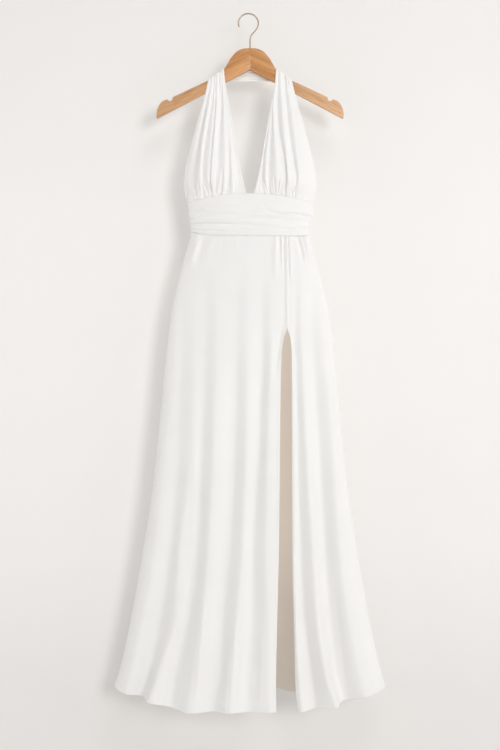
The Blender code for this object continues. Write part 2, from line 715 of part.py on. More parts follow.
# Hanger
def arm_outline():
    """Outline of one arm in X and drop, from its centre out along the top and back below."""
    top_out = np.concatenate([np.linspace(0, 138, 24), [NOTCH_OUT - NOTCH_RADIUS]])
    last = ARM_TOP[-1]
    curve = [(x, float(smooth(ARM_TOP, "top", x))) for x in top_out[:-1]]
    edge = last.top + ARM_SLOPE * (top_out[-1] - last.out)
    curve.append((top_out[-1], edge))
    bottom = edge + NOTCH_DEPTH - NOTCH_RADIUS
    for angle in np.linspace(pi, 2 * pi, 7):
        curve.append(
            (NOTCH_OUT + NOTCH_RADIUS * np.cos(angle), bottom - NOTCH_RADIUS * np.sin(angle))
        )
    far_edge = edge + ARM_SLOPE * 2 * NOTCH_RADIUS
    curve.append((NOTCH_OUT + NOTCH_RADIUS, far_edge))
    low = ARM_UNDERSIDE + UNDERSIDE_SLOPE * TIP_OUT
    for angle in np.linspace(0, pi / 2, 8)[1:]:
        curve.append(
            (
                NOTCH_OUT + NOTCH_RADIUS + (TIP_LENGTH + 1) * np.sin(angle),
                far_edge + (low - 6 - far_edge) * (1 - np.cos(angle)),
            )
        )
    curve.append((TIP_OUT - 0.6, low - 1.5))
    curve.append((TIP_OUT - 3.0, low - 1.5))
    curve.append((0.0, ARM_UNDERSIDE))
    return curve


def arm(name, side, hang):
    outline = arm_outline()
    half = ARM_THICKNESS / 2
    count = len(outline)
    shift = MITRE_GAP / 2
    front = [(side * (x + shift), -half, -drop) for x, drop in outline]
    back = [(side * (x + shift), half, -drop) for x, drop in outline]
    faces = [tuple(range(count)), tuple(range(2 * count - 1, count - 1, -1))]
    for i in range(count):
        j = (i + 1) % count
        faces.append((j, i, count + i, count + j))
    made = mesh_object(name, np.array(front + back), faces, BEECH, hang)
    rounded = made.modifiers.new("edge", "BEVEL")
    rounded.width = ARM_EDGE * MM
    rounded.segments = 1
    rounded.limit_method = "ANGLE"
    rounded.angle_limit = pi / 3
    seat = made.modifiers.new("stem_seat", "BOOLEAN")
    seat.operation = "DIFFERENCE"
    seat.object = bpy.data.objects["stem_cutter"]
    return made


def stem_cutter(hang):
    """The drilled hole that the hook's stem stands in, cut half from each arm."""
    top = ARM_TOP[0].top
    length = STEM_SEAT + STEM_CLEARANCE + 6
    bpy.ops.mesh.primitive_cylinder_add(
        vertices=16, radius=(WIRE / 2 + STEM_CLEARANCE) * MM, depth=length * MM
    )
    cutter = bpy.context.active_object
    cutter.name = "stem_cutter"
    cutter.parent = hang
    cutter.location = (0, 0, -(top + STEM_SEAT + STEM_CLEARANCE - length / 2) * MM)
    cutter.hide_render = True
    cutter.display_type = "WIRE"


def hook_path():
    """Centre line of the hook's wire, from its tip over the crown and down to the stem."""
    crown = -(HOOK_RADIUS - WIRE / 2)
    centre = np.array([-CENTRE_LINE, crown])
    angles = np.radians(np.linspace(HOOK_TIP_ANGLE, HOOK_NECK_ANGLE, 18))
    ring = centre + HOOK_RADIUS * np.stack([np.cos(angles), np.sin(angles)], axis=-1)
    end = np.array([0.0, -STEM_TURN])
    heading = np.array([np.sin(angles[-1]), -np.cos(angles[-1])])
    reach = np.linalg.norm(end - ring[-1])
    f = np.linspace(0, 1, 8)[1:, None]
    bend = (
        (1 - f) ** 3 * ring[-1]
        + 3 * f * (1 - f) ** 2 * (ring[-1] + heading * reach * 0.35)
        + 3 * f**2 * (1 - f) * (end + np.array([0, 1]) * reach * 0.45)
        + f**3 * end
    )
    seat = np.array([[0.0, -(ARM_TOP[0].top + STEM_SEAT)]])
    return np.concatenate([ring, bend, seat])


def hook(hang):
    path = hook_path()
    curve = bpy.data.curves.new("hook", "CURVE")
    curve.dimensions = "3D"
    curve.bevel_depth = WIRE / 2 * MM
    curve.bevel_resolution = 2
    curve.use_fill_caps = True
    spline = curve.splines.new("POLY")
    spline.points.add(len(path) - 1)
    for point, (x, z) in zip(spline.points, path):
        point.co = (x * MM, 0, z * MM, 1)
    curve.materials.append(material(WARM_STEEL))
    made = bpy.data.objects.new("hanger_hook", curve)
    made.parent = hang
    bpy.context.scene.collection.objects.link(made)


def main():
    for old in list(bpy.data.objects):
        bpy.data.objects.remove(old)
    hang = bpy.data.objects.new("hanging_line", None)
    hang.location = (CENTRE_LINE * MM, 0, 0)
    bpy.context.scene.collection.objects.link(hang)

    stem_cutter(hang)
    arm("hanger_arm_left", -1, hang)
    arm("hanger_arm_right", 1, hang)
    hook(hang)
    halter_panel("halter_left", LEFT_PLEATS, -1, hang)
    halter_panel("halter_right", RIGHT_PLEATS, 1, hang)
    neck_band(hang)
    waistband("front", FRONT_RUCHES, 27, hang)
    waistband("back", BACK_RUCHES, 21, hang)
    front_left_skirt(hang)
    front_right_skirt(hang)
    back_skirt(hang)


main()
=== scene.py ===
"""Looks of a white jersey halter dress on a wooden hanger.

Every cloth panel is a fine shell on the form of its solid: the same sizes and folds, with
the creases, gathers, hems and stitches that a solid leaves out. Lengths in the tables are in
millimetres, X counts from the hanger's centre line and a drop counts down from the origin.
"""

from collections import namedtuple
from math import atan, pi, radians

import bmesh
import bpy
import numpy as np
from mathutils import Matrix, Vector


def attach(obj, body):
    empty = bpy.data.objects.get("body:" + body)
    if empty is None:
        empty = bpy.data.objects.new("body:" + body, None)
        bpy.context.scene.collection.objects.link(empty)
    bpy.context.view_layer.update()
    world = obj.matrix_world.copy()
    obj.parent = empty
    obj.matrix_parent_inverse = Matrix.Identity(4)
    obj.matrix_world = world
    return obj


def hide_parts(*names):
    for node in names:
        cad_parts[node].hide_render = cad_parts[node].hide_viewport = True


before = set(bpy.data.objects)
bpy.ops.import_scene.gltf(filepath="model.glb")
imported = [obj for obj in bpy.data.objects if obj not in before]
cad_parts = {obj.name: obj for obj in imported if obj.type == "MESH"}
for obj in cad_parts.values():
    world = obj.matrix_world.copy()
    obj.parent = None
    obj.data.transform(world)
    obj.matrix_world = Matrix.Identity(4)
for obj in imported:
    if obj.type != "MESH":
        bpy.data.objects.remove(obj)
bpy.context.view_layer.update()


def table(kind, *rows):
    """Rows of one kind, each from its plain values."""
    return [kind(*row) for row in rows]


MM = 0.001
CENTRE_LINE = 4.0
CLOTH = 0.9
SEAM_GAP = 0.3
HALF_GAP = SEAM_GAP / 2

# Sign of Y on each face of the dress
OUTWARD = {"front": -1, "back": 1}

# Power of the flattened tube that the dress follows, and the steps that trace it
ROUNDING = 2.3
FINE_STEPS = 800

# Hemmed edges: thickness of the doubled cloth, its step down, and the dip at the stitches
HEM_CLOTH = 1.8
HEM_STEP = 1.5
HEM_DIP = 0.5
HEM_DIP_SPREAD = 1.2

# Driving heights of the dress, all as drops below the origin
V_POINT = 426.5
BAND_TOP_RISE = 20.5
BAND_TOP_SIDE = V_POINT + BAND_TOP_RISE
BACK_TOP_DIP = 4.0
WAIST_SIDE = 517.0
WAIST_FRONT = 524.5
HEM_FRONT = 1626.0
HEM_SIDE = 1581.0
SLIT_TOP = 738.0

# Sections of the dress below the bust, at drops measured down the side seams
Section = namedtuple("Section", "drop half_width front back")
SECTIONS = table(
    Section,
    (447, 147, 30, 20),
    (470, 144.5, 29, 20),
    (500, 139.5, 28, 21),
    (517, 139, 28, 22),
    (555, 148, 30, 23),
    (626, 167, 32, 24),
    (697, 183, 34, 25),
    (791, 195, 36, 27),
    (932, 209, 40, 30),
    (1120, 229, 45, 34),
    (1308, 259, 50, 39),
    (1496, 295, 55, 43),
    (1581, 317, 58, 46),
)

# Lower seam of the waistband, and how far the hem rises above its lowest point
Level = namedtuple("Level", "across front back")
WAIST_SEAM = table(
    Level,
    (-1.00, 513.0, 513.0),
    (-0.80, 520.5, 516.0),
    (-0.45, 524.0, 520.0),
    (0.60, WAIST_FRONT, 522.0),
    (1.00, 522.0, 522.0),
)
HEM_RISE = table(
    Level,
    (-1.00, 45, 45),
    (-0.90, 35, 40),
    (-0.72, 23, 32),
    (-0.54, 5, 27),
    (-0.40, 0, 24),
    (0.32, 0, 23),
    (0.45, 5, 24),
    (0.60, 14, 28),
    (0.88, 34, 39),
    (1.00, 45, 45),
)

# Edges of the slit, which is sewn shut above its top
Slit = namedtuple("Slit", "drop left right")
SLIT = table(
    Slit,
    (WAIST_FRONT, 85.0, 85.0),
    (SLIT_TOP, 86.0, 86.0),
    (764, 78.5, 93.0),
    (802, 73.0, 96.5),
    (860, 71.0, 97.0),
    (1277, 66.0, 98.0),
    (1450, 61.5, 102.0),
    (1569, 59.5, 105.0),
    (1626, 60.0, 111.0),
)

# Crests and troughs of the skirt's folds, in order across each panel: X of the line and how far
# it stands out, at six drops. A trough has a negative lift. Lean moves a crest sideways at the hem.
Fold = namedtuple("Fold", "x lift lean", defaults=(0.0,))
FOLD_DROPS = (740, 975, 1275, 1409, 1542, 1612)
FOLD_START = 560.0
FOLD_GROWTH = 180.0
FOLD_DEPTH = 1.27
HEM_FLARE = 1.5
HEM_FLARE_FROM = 30.0
LEAN_DROP = 1380.0
LEAN_SPREAD = 15.0
LEAST_FOLD = 0.3
EDGE_ROOM = 1.0
FRONT_LEFT_FOLDS = table(
    Fold,
    ((-176, -194, -226, -250, -277, -292), (0.5, 2.5, 5.0, 6.0, 7.0, 6.0)),
    ((-157, -163, -187, -208, -240, -267), (-0.8, -3.0, -7.0, -10.0, -14.0, -15.0)),
    ((-131, -134, -164, -172, -204, -223), (0.4, 1.0, 2.5, 5.0, 10.5, 12.5), -9.0),
    ((-103, -109, -125, -142, -172, -184), (-1.0, -3.5, -6.5, -7.5, -8.0, -6.0)),
    ((-77, -82, -97, -109, -124, -136), (2.0, 5.5, 8.0, 10.0, 12.0, 12.0), -3.0),
    ((-31, -34, -49, -62, -70, -84), (-1.0, -3.5, -5.0, -6.0, -7.0, -6.0)),
    ((-6, -8, -19, -30, -44, -48), (1.5, 4.0, 6.0, 7.5, 9.0, 9.0), -2.0),
    ((28, 23, 8, 8, 1, -2), (-1.5, -4.0, -5.5, -6.0, -6.0, -4.0)),
    ((49, 43, 38, 42, 41, 42), (1.5, 4.0, 4.0, 4.0, 4.0, 4.0)),
)
FRONT_RIGHT_FOLDS = table(
    Fold,
    ((95, 101, 102, 105, 112, 118), (0.4, 1.0, 2.0, 3.0, 4.5, 5.0)),
    ((106, 111, 118, 125, 141, 150), (-0.6, -2.5, -5.5, -7.5, -9.0, -8.0)),
    ((119, 128, 145, 153, 166, 186), (1.6, 5.0, 8.5, 11.0, 14.0, 16.0), 10.0),
    ((146, 159, 176, 187, 204, 222), (-1.5, -5.5, -9.0, -10.0, -12.0, -13.0)),
    ((168, 192, 209, 228, 253, 274), (1.0, 4.0, 7.0, 8.0, 9.0, 8.0)),
)
BACK_FOLDS = table(
    Fold,
    ((-150, -172, -205, -226, -250, -262), (-0.8, -3.0, -6.0, -8.0, -11.0, -12.0)),
    ((-118, -136, -164, -180, -197, -206), (1.0, 3.5, 7.0, 9.0, 12.0, 13.0)),
    ((-90, -102, -120, -131, -145, -152), (-1.0, -3.0, -6.0, -8.0, -9.0, -9.0)),
    ((-60, -66, -76, -82, -86, -88), (1.5, 4.5, 8.0, 10.0, 12.0, 12.0)),
    ((-22, -22, -20, -16, -14, -12), (-1.0, -3.5, -7.0, -9.0, -10.0, -9.0)),
    ((20, 24, 32, 38, 46, 50), (1.0, 4.0, 7.0, 9.0, 11.0, 11.0)),
    ((52, 60, 76, 88, 102, 110), (-1.0, -3.5, -7.0, -9.0, -12.0, -12.0)),
    ((88, 104, 128, 142, 158, 168), (1.0, 4.0, 8.0, 10.0, 13.0, 14.0)),
    ((126, 146, 176, 196, 218, 230), (-0.8, -3.0, -6.0, -7.0, -9.0, -9.0)),
    ((160, 184, 220, 243, 270, 286), (0.5, 2.0, 4.0, 5.0, 6.0, 5.0)),
)

# Gathers sewn into the top of the skirt, each fading out at its reach down the panel
Gather = namedtuple("Gather", "across lift reach spread")
FRONT_LEFT_GATHERS = table(
    Gather,
    (0.10, 2.6, 0.16, 0.035),
    (0.37, 0.9, 0.10, 0.040),
    (0.63, 0.8, 0.09, 0.040),
    (0.895, 1.8, 0.13, 0.016),
    (0.950, 1.8, 0.12, 0.013),
)
FRONT_RIGHT_GATHERS = table(
    Gather,
    (0.17, 0.7, 0.14, 0.060),
    (0.36, 0.8, 0.12, 0.060),
    (0.58, 0.7, 0.13, 0.065),
    (0.79, 0.9, 0.10, 0.065),
)
BACK_GATHERS = table(
    Gather,
    (0.12, 1.8, 0.12, 0.022),
    (0.20, 1.6, 0.11, 0.020),
    (0.33, 1.2, 0.14, 0.025),
    (0.50, 1.2, 0.12, 0.025),
    (0.67, 1.3, 0.13, 0.025),
    (0.80, 1.7, 0.11, 0.020),
    (0.88, 1.8, 0.12, 0.022),
)
GATHER_WIDENING = 1.2
SEAM_RIDGE = 1.6
SEAM_RIDGE_SPREAD = 2.6

# Shares of a skirt panel over which its folds and its raised seam die away
SIDE_FADE = 0.05
SEWN_FADE = 0.07
SEWN_END = 0.05
RIDGE_END = 0.03

# Ruches of the waistband: ridges that run across it between two places, with their height in
# the band at the left end, the middle and the right end
Ruche = namedtuple("Ruche", "start end left middle right lift spread")
FRONT_RUCHES = table(
    Ruche,
    (-1.00, -0.25, 0.34, 0.27, 0.27, 1.3, 0.045),
    (-1.00, 0.15, 0.50, 0.42, 0.46, 1.7, 0.045),
    (-1.00, 0.60, 0.65, 0.67, 0.76, 2.2, 0.050),
    (-1.00, -0.05, 0.86, 0.84, 0.90, 1.8, 0.045),
    (0.20, 1.00, 0.34, 0.38, 0.36, 1.7, 0.045),
    (0.05, 1.00, 0.50, 0.50, 0.54, 1.6, 0.045),
    (0.15, 1.00, 0.90, 0.88, 0.68, 1.9, 0.050),
)
BACK_RUCHES = table(
    Ruche,
    (-1.00, 0.30, 0.30, 0.22, 0.28, 1.6, 0.055),
    (-0.20, 1.00, 0.42, 0.46, 0.34, 1.7, 0.055),
    (-1.00, 0.10, 0.58, 0.52, 0.60, 1.9, 0.055),
    (-0.50, 1.00, 0.72, 0.74, 0.62, 1.8, 0.055),
    (-1.00, 1.00, 0.86, 0.90, 0.84, 1.5, 0.050),
)

# The roll of cloth just above the waistband's lower seam, across the band
Roll = namedtuple("Roll", "across lift")
BAND_ROLLS = table(
    Roll,
    (-1.0, 1.0),
    (-0.8, 2.0),
    (-0.45, 2.0),
    (-0.1, 1.2),
    (0.3, 0.5),
    (1.0, 0.3),
)
BAND_ROLL_AT = 0.96
BAND_ROLL_SPREAD = 0.05
RUCHE_FADE = 0.25
BAND_CREASE_DEPTH = 1.25

# Steps of the waistband, and how its ruches die away towards its seams
BAND_COLUMNS = 240
BAND_ROWS = ((0.06, 6), (0.94, 66), (1.0, 8))
BAND_TOP_FADE = 0.1
BAND_END_FADE = 0.04
BAND_LOW_LIFT = 0.35

# Creases, each from one place to another as X and drop, bowed sideways in its middle. The
# bow is to the left of the way the crease runs.
Crease = namedtuple("Crease", "x drop to_x to_drop bow lift width")
FRONT_BAND_CREASES = table(
    Crease,
    (-150, 494.0, -26, 498.0, 0.5, -3.2, 2.2),
    (-34, 498.2, 56, 502.8, 0.5, -0.9, 2.6),
    (-150, 504.5, -56, 515.8, -1.5, -1.5, 2.6),
    (-150, 487.0, -26, 473.5, 6.0, -1.3, 3.0),
    (-148, 482.0, -98, 465.0, 3.5, -1.5, 2.6),
    (-68, 485.6, 148, 493.5, 5.0, -1.1, 2.6),
    (46, 472.8, 92, 471.6, 0.0, -2.1, 2.1),
    (76, 470.3, 150, 480.0, 1.5, -1.4, 2.6),
    (24, 452.0, 54, 471.5, 0.0, -0.9, 5.0),
    (62, 512.6, 148, 499.0, -1.5, -1.6, 2.8),
    (-148, 473.0, -110, 462.0, 1.5, 1.0, 3.0),
    (100, 484.0, 148, 486.5, 0.0, -1.1, 2.2),
    (108, 508.0, 148, 505.0, 0.0, -1.0, 2.0),
    (-150, 499.0, -96, 503.0, 0.5, 1.0, 2.6),
)
LEFT_HALTER_CREASES = table(
    Crease,
    (127.1, 389, 119.5, 432, 0, 2.0, 2.4),
    (122.8, 404, 116.3, 433, 0, -2.0, 1.7),
    (137.9, 406, 128.2, 440, 0, 1.3, 2.4),
    (110.4, 405, 100.1, 435, 0, 1.7, 1.6),
    (106.6, 400, 95.8, 434, 0, -2.2, 1.7),
    (100.5, 378, 91.0, 427, 0, 2.1, 1.9),
    (95.8, 389, 88.2, 426, 0, -2.5, 1.7),
    (78.1, 366, 81.1, 427, 0, -2.5, 2.3),
    (71.6, 357, 77.4, 430, -4.0, 2.8, 2.6),
    (65.5, 361, 69.4, 429, -3.5, -3.1, 1.9),
    (58.0, 406, 63.4, 431, 0, 1.7, 1.4),
    (54.7, 404, 60.1, 431, 0, -2.2, 1.3),
    (47.2, 382, 55.2, 428, 0, -3.1, 1.7),
    (49.3, 404, 54.3, 427, 0, 1.5, 1.2),
    (44.4, 398, 49.3, 427, 0, -2.0, 1.3),
    (33.6, 382, 35.7, 428, 0, -1.8, 1.8),
    (72.2, 204, 72.7, 132, 0, -2.1, 1.8),
    (67.7, 204, 68.8, 138, 0, 1.1, 2.0),
)
RIGHT_HALTER_CREASES = table(
    Crease,
    (22.2, 374, 20.3, 426, 0, -2.0, 1.5),
    (30.0, 383, 39.7, 428, 0, -3.1, 1.9),
    (42.5, 397, 45.6, 429, 0, -2.1, 1.4),
    (47.7, 397, 51.2, 430, 0, 1.7, 1.4),
    (54.8, 380, 58.9, 430, 0, -3.2, 1.8),
    (51.6, 384, 55.5, 429, 0, 1.4, 1.4),
    (69.3, 380, 64.8, 430, 0, -2.7, 1.6),
    (72.8, 384, 67.1, 431, 0, 1.8, 1.5),
    (74.9, 402, 69.3, 432, 0, -2.1, 1.3),
    (78.0, 397, 72.8, 432, 0, 1.7, 1.4),
    (80.1, 410, 75.8, 434, 0, -1.8, 1.2),
    (78.4, 330, 84.6, 410, 1.2, -2.4, 1.9),
    (84.6, 396, 82.7, 434, 0, -2.2, 1.5),
    (94.8, 403, 88.7, 436, 0, 1.5, 1.5),
    (96.9, 408, 91.6, 438, 0, -2.0, 1.3),
    (101.3, 410, 95.2, 440, 0, -1.7, 1.3),
    (107.3, 402, 98.0, 440, 0, 1.7, 1.6),
    (107.0, 362, 107.1, 410, 2.0, -2.5, 1.6),
    (112.0, 406, 103.0, 441, 0, -1.4, 2.1),
    (85.1, 190, 80.6, 134, 0, -1.9, 1.4),
    (88.7, 178, 82.5, 134, 0, 1.5, 1.4),
    (93.1, 188, 85.0, 138, 0, -1.9, 1.4),
)
BACK_BAND_CREASES = table(
    Crease,
    (-150, 478.0, 10, 472.0, 4.0, -1.8, 2.6),
    (-60, 484.0, 150, 490.0, 4.0, -1.5, 2.6),
    (-150, 494.0, 40, 497.5, 2.0, -2.0, 2.4),
    (20, 471.0, 150, 466.0, 2.0, -1.6, 2.8),
    (-150, 507.0, -40, 510.0, 0.0, -1.5, 2.6),
    (40, 508.0, 150, 502.0, -1.5, -1.6, 2.6),
)
FRONT_LEFT_CREASES = table(
    Crease,
    (-114, 518, -141, 596, 0, 2.2, 5.5),
    (-105, 522, -129, 606, 0, -1.5, 6.0),
    (-82, 518, -107, 586, 0, 1.0, 7.0),
    (-61, 518, -66, 574, 0, -1.2, 6.0),
    (-33, 520, -35, 574, 0, 0.8, 6.0),
    (56, 516, 62, 640, 0, 1.7, 8.0),
    (68, 510, 71, 606, 0, -1.7, 3.0),
    (74, 510, 75.5, 600, 0, 1.1, 2.1),
    (78.6, 508, 79.6, 622, 0, -1.7, 1.9),
    (81, 716, 60, 850, 6, 1.6, 4.5),
    (73, 736, 52, 860, 4, -1.5, 5.0),
    (52, 740, 46, 900, 0, 1.2, 7.0),
    (35, 748, 32, 920, 0, -1.3, 7.0),
    (-126, 960, -137, 1300, 0, 1.2, 6.0),
    (-137, 1240, -196, 1640, 0, 2.0, 6.0),
    (-160, 1400, -207, 1640, 0, -2.0, 4.2),
    (-150, 1500, -172, 1640, 0, 1.4, 4.0),
    (-104, 1340, -129, 1650, 3.0, 2.4, 4.2),
    (-31, 1380, -45, 1650, 0, 2.2, 4.0),
    (-21, 1460, -36, 1650, 0, -1.3, 3.2),
    (-37, 1460, -53, 1650, 0, -1.5, 3.2),
    (30, 1400, 20, 1640, 0, 1.2, 5.0),
)
FRONT_RIGHT_CREASES = table(
    Crease,
    (87.4, 508, 89, 622, 0, -1.6, 1.9),
    (92, 510, 96, 640, 0, 1.8, 3.2),
    (101, 506, 126, 590, 3.0, -3.6, 4.2),
    (110, 506, 129, 562, 1.5, 1.6, 2.4),
    (115.5, 506, 132, 566, 1.2, -3.2, 2.8),
    (124, 506, 140, 590, 1.5, 1.8, 4.0),
    (91, 716, 108, 840, -4, 1.5, 4.5),
    (98, 740, 116, 850, -3, -1.2, 5.0),
    (109, 940, 121, 1200, 0, 0.9, 3.2),
    (196, 1300, 236, 1640, -4, -1.4, 5.0),
    (172, 1420, 206, 1650, -4, 1.8, 4.0),
    (258, 1440, 284, 1600, 0, 1.6, 5.0),
)
BACK_CREASES = table(
    Crease,
    (-112, 512, -136, 600, 0, 1.8, 5.0),
    (-98, 512, -112, 590, 0, -1.4, 4.0),
    (-60, 512, -66, 640, 0, 1.2, 6.0),
    (-30, 512, -30, 600, 0, -1.0, 5.0),
    (8, 512, 6, 650, 0, 1.1, 6.0),
    (52, 512, 58, 610, 0, -1.2, 5.0),
    (88, 512, 100, 620, 0, 1.6, 4.5),
    (112, 512, 134, 600, 0, -1.6, 4.0),
)

# Front panels of the skirt: the columns at the side seam and at the slit, the name of the
# slit's edge, and the steps across as (share, steps)
Panel = namedtuple("Panel", "side seam slit slit_name shares folds gathers creases")
FRONT_PANELS = table(
    Panel,
    (
        "left", 0, -1, "right", ((0.80, 110), (0.97, 44), (1.0, 14)),
        FRONT_LEFT_FOLDS, FRONT_LEFT_GATHERS, FRONT_LEFT_CREASES,
    ),
    (
        "right", -1, 0, "left", ((0.05, 12), (1.0, 104)),
        FRONT_RIGHT_FOLDS, FRONT_RIGHT_GATHERS, FRONT_RIGHT_CREASES,
    ),
)
BACK_COLUMNS = 190

# Outline of a halter panel from the hanger's arm down to the bust seam, the same on each side
Halter = namedtuple(
    "Halter", "share inner_x inner_drop outer_x outer_drop inner_out crest_out outer_out"
)
HALTER = table(
    Halter,
    (0.00, 61.8, 129.9, 97.7, 156.2, 7.3, 7.3, 7.3),
    (0.15, 56.7, 174.8, 108.0, 200.7, 9.2, 10.2, 8.0),
    (0.35, 45.5, 234.8, 124.2, 258.2, 13.5, 17.0, 8.5),
    (0.55, 35.4, 294.4, 139.3, 316.2, 18.5, 25.0, 8.0),
    (0.75, 24.7, 353.5, 152.4, 373.9, 24.0, 33.0, 6.0),
    (0.88, 17.2, 391.6, 155.0, 410.3, 27.5, 35.5, 3.0),
    (1.00, 8.1, V_POINT, 147.0, BAND_TOP_SIDE, 30.0, 31.0, 0.0),
)
HALTER_COLUMNS = ((0.05, 8), (0.95, 140), (1.0, 8))
HALTER_ROWS = ((0.60, 64), (0.90, 50), (1.0, 26))
HALTER_CREST = 0.42
HALTER_FALL = 2.6
SEAM_BLEND = 0.86
LOOP_OUT = 7.2
LOOP_BEND = 2.7
LOOP_DEPTH = 6.0
LOOP_SHARE = 0.02
LOOP_STEPS = 6

# Gathers of the halter panels, as lines like the skirt's folds, with X counted outwards on
# both sides, and how they deepen below the arm
PLEAT_DROPS = (164, 216, 281, 346, 389, 428)
PLEAT_EXTRA = 0.4
PLEAT_GROWTH = 60.0
HALTER_CREASE_FADES = (0.6, 0.12)
LEFT_PLEATS = table(
    Fold,
    ((62.3, 54.3, 42.9, 32.7, 28.2, 26.2), (0.2, 0.3, -0.2, -0.6, -0.9, -0.6)),
    ((62.8, 56.0, 47.0, 43.5, 42.2, 40.7), (0.4, 0.6, 0.8, 1.8, 2.4, 1.5)),
    ((63.3, 58.0, 50.4, 48.9, 48.5, 53.0), (0.8, 0.8, 0.6, -0.6, -1.2, -1.0)),
    ((64.2, 61.9, 60.8, 58.6, 60.1, 62.9), (1.2, 1.8, 2.0, 2.4, 2.6, 1.6)),
    ((66.8, 66.8, 70.7, 73.5, 72.0, 72.0), (-0.4, -1.2, -1.8, -1.4, -0.8, -0.8)),
    ((78.1, 78.5, 82.2, 87.1, 89.7, 86.0), (1.8, 2.8, 3.2, 3.6, 3.2, 1.6)),
    ((80.6, 81.7, 86.5, 91.2, 93.6, 90.2), (-0.4, -0.4, -0.3, -0.3, -0.6, -1.0)),
    ((82.6, 85.0, 91.0, 96.8, 99.0, 96.2), (0.4, 0.7, 0.6, 0.5, 0.4, 0.6)),
    ((85.0, 91.0, 100.7, 108.5, 110.7, 110.1), (-0.4, -1.2, -1.6, -1.6, -1.4, -1.0)),
    ((88.9, 96.2, 106.3, 113.5, 115.2, 114.8), (1.6, 2.4, 2.8, 3.0, 2.8, 1.6)),
    ((92.3, 105.1, 118.0, 128.8, 134.2, 130.0), (-0.4, -1.2, -2.2, -2.6, -1.8, -0.8)),
    ((94.6, 108.3, 124.9, 140.0, 147.0, 141.0), (0.3, 0.5, 0.5, 0.5, 0.3, 0.2)),
)
RIGHT_PLEATS = table(
    Fold,
    ((59.6, 50.2, 38.9, 27.9, 20.5, 15.3), (0.1, 0.1, 0.3, 0.8, 1.2, 0.8)),
    ((60.1, 51.0, 40.6, 30.0, 27.4, 32.2), (0.2, 0.0, -0.3, -1.0, -1.6, -1.0)),
    ((60.6, 51.9, 43.6, 37.8, 36.1, 38.2), (0.4, 0.3, 1.0, 2.2, 2.8, 1.5)),
    ((61.1, 52.7, 49.2, 45.8, 44.0, 44.0), (0.8, 0.6, -0.8, -1.2, -1.0, -0.8)),
    ((61.8, 53.8, 56.4, 60.0, 61.1, 61.5), (1.2, 1.8, 2.6, 3.2, 3.0, 1.6)),
    ((65.4, 64.3, 68.0, 78.8, 83.6, 81.4), (-0.6, -1.4, -2.0, -2.0, -2.2, -1.2)),
    ((71.7, 74.3, 78.8, 84.9, 87.7, 84.4), (1.8, 2.8, 3.2, 3.6, 3.2, 1.6)),
    ((80.5, 85.7, 91.8, 101.5, 107.5, 103.0), (-0.5, -1.2, -1.8, -1.8, -1.8, -1.0)),
    ((85.7, 94.1, 102.4, 108.8, 112.1, 107.8), (1.2, 2.0, 2.4, 2.8, 2.4, 1.0)),
)
NECK_RIDGES = (0.17, 0.46, 0.76)
NECK_RIDGE_LIFT = 0.7
NECK_RIDGE_SPREAD = 0.10
NECK_COLUMNS = 80
NECK_ROWS = 60
EDGE_ROLL = 5.0
EDGE_CLOTH = 1.9
EDGE_STEP = 2.0

# Cut of a cloth panel: its flat width and height in metres, its area in square metres where
# it is no rectangle, how its cloth is held, and what it hangs from. No panel is given one here.
Cut = namedtuple("Cut", "flat area held rests_on")

# Hanger: outline of one wooden arm with its notch for straps and its rounded tip, which has
# small corners below as (inwards, upwards). Corners sharper than its angle stay crisp.
Arm = namedtuple("Arm", "out top")
ARM_TOP = table(
    Arm,
    (0.0, 81.0),
    (14.0, 82.4),
    (28.0, 87.4),
    (43.7, 103.0),
    (60.0, 129.8),
    (71.0, 142.0),
    (84.0, 150.8),
    (97.5, 157.4),
    (138.0, 176.0),
)
NOTCH_OUT = 188.0
NOTCH_RADIUS = 6.0
NOTCH_DEPTH = 9.0
ARM_SLOPE = 0.473
ARM_UNDERSIDE = 130.6
UNDERSIDE_SLOPE = 0.527
TIP_OUT = 220.0
TIP_LENGTH = 26.0
TIP_LOWER = 6.0
TIP_CORNERS = ((0.6, 1.5), (3.0, 1.5))
ARM_STEPS = 69
NOTCH_STEPS = 16
TIP_STEPS = 19
ARM_THICKNESS = 12.0
ARM_EDGE = 2.0
ARM_EDGE_STEPS = 4
ARM_EDGE_ANGLE = 60.0
MITRE_GAP = 0.3
WOOD_SHARP = 35.0

# Hook: its wire, the ring over the rod, the bend back to the middle and the seated stem
WIRE = 3.2
WIRE_SHARP = 50.0
WIRE_SIDES = 20
RING_STEPS = 59
BEND_STEPS = 24
DOME_STEPS = 5
HOOK_RADIUS = 23.4
HOOK_TIP_ANGLE = 197.0
HOOK_NECK_ANGLE = -28.0
STEM_TURN = 62.0
STEM_SEAT = 16.0
STEM_CLEARANCE = 0.3
STEM_HOLE_OVER = 6.0
STEM_HOLE_SIDES = 32
BEND_AT_RING = 0.35
BEND_AT_STEM = 0.45

# Sewing: running stitches, each pointed at both ends, and how far in from an edge they run
STITCH_PITCH = 3.2
STITCH_LENGTH = 2.4
STITCH_RADIUS = 0.28
STITCH_RISE = 0.4
STITCH_KNOTS = (0.0, 0.2, 0.8, 1.0)
STITCH_SIDES = 6
HEM_STITCH_AT = 8.5
EDGE_STITCH_AT = 5.5

# Stage: a wall behind the hanger and a floor below the hem
WALL_BEHIND = 75.0
FLOOR_DROP = 1950.0
STAGE_REACH = 6000.0
WALL_TOP = 3000.0

# Painted light, as (height in metres, strength): the wall and the floor glow in place of the light
# of a pale room, the wall less towards its foot and its top as painted shade, and the shaded
# inside of the cloth glows in place of light that comes through the thin cloth
WALL_PAINTED_GLOW = [
    (-1.95, 0.148),
    (-1.60, 0.172),
    (-1.28, 0.232),
    (-0.85, 0.256),
    (-0.45, 0.25),
    (-0.09, 0.208),
    (0.10, 0.189),
]
FLOOR_GLOW = [(-1.96, 0.12), (-1.94, 0.12)]
INSIDE_PAINTED_GLOW = [(-1.62, 0.205), (-1.50, 0.24), (-1.20, 0.325), (-0.45, 0.34)]

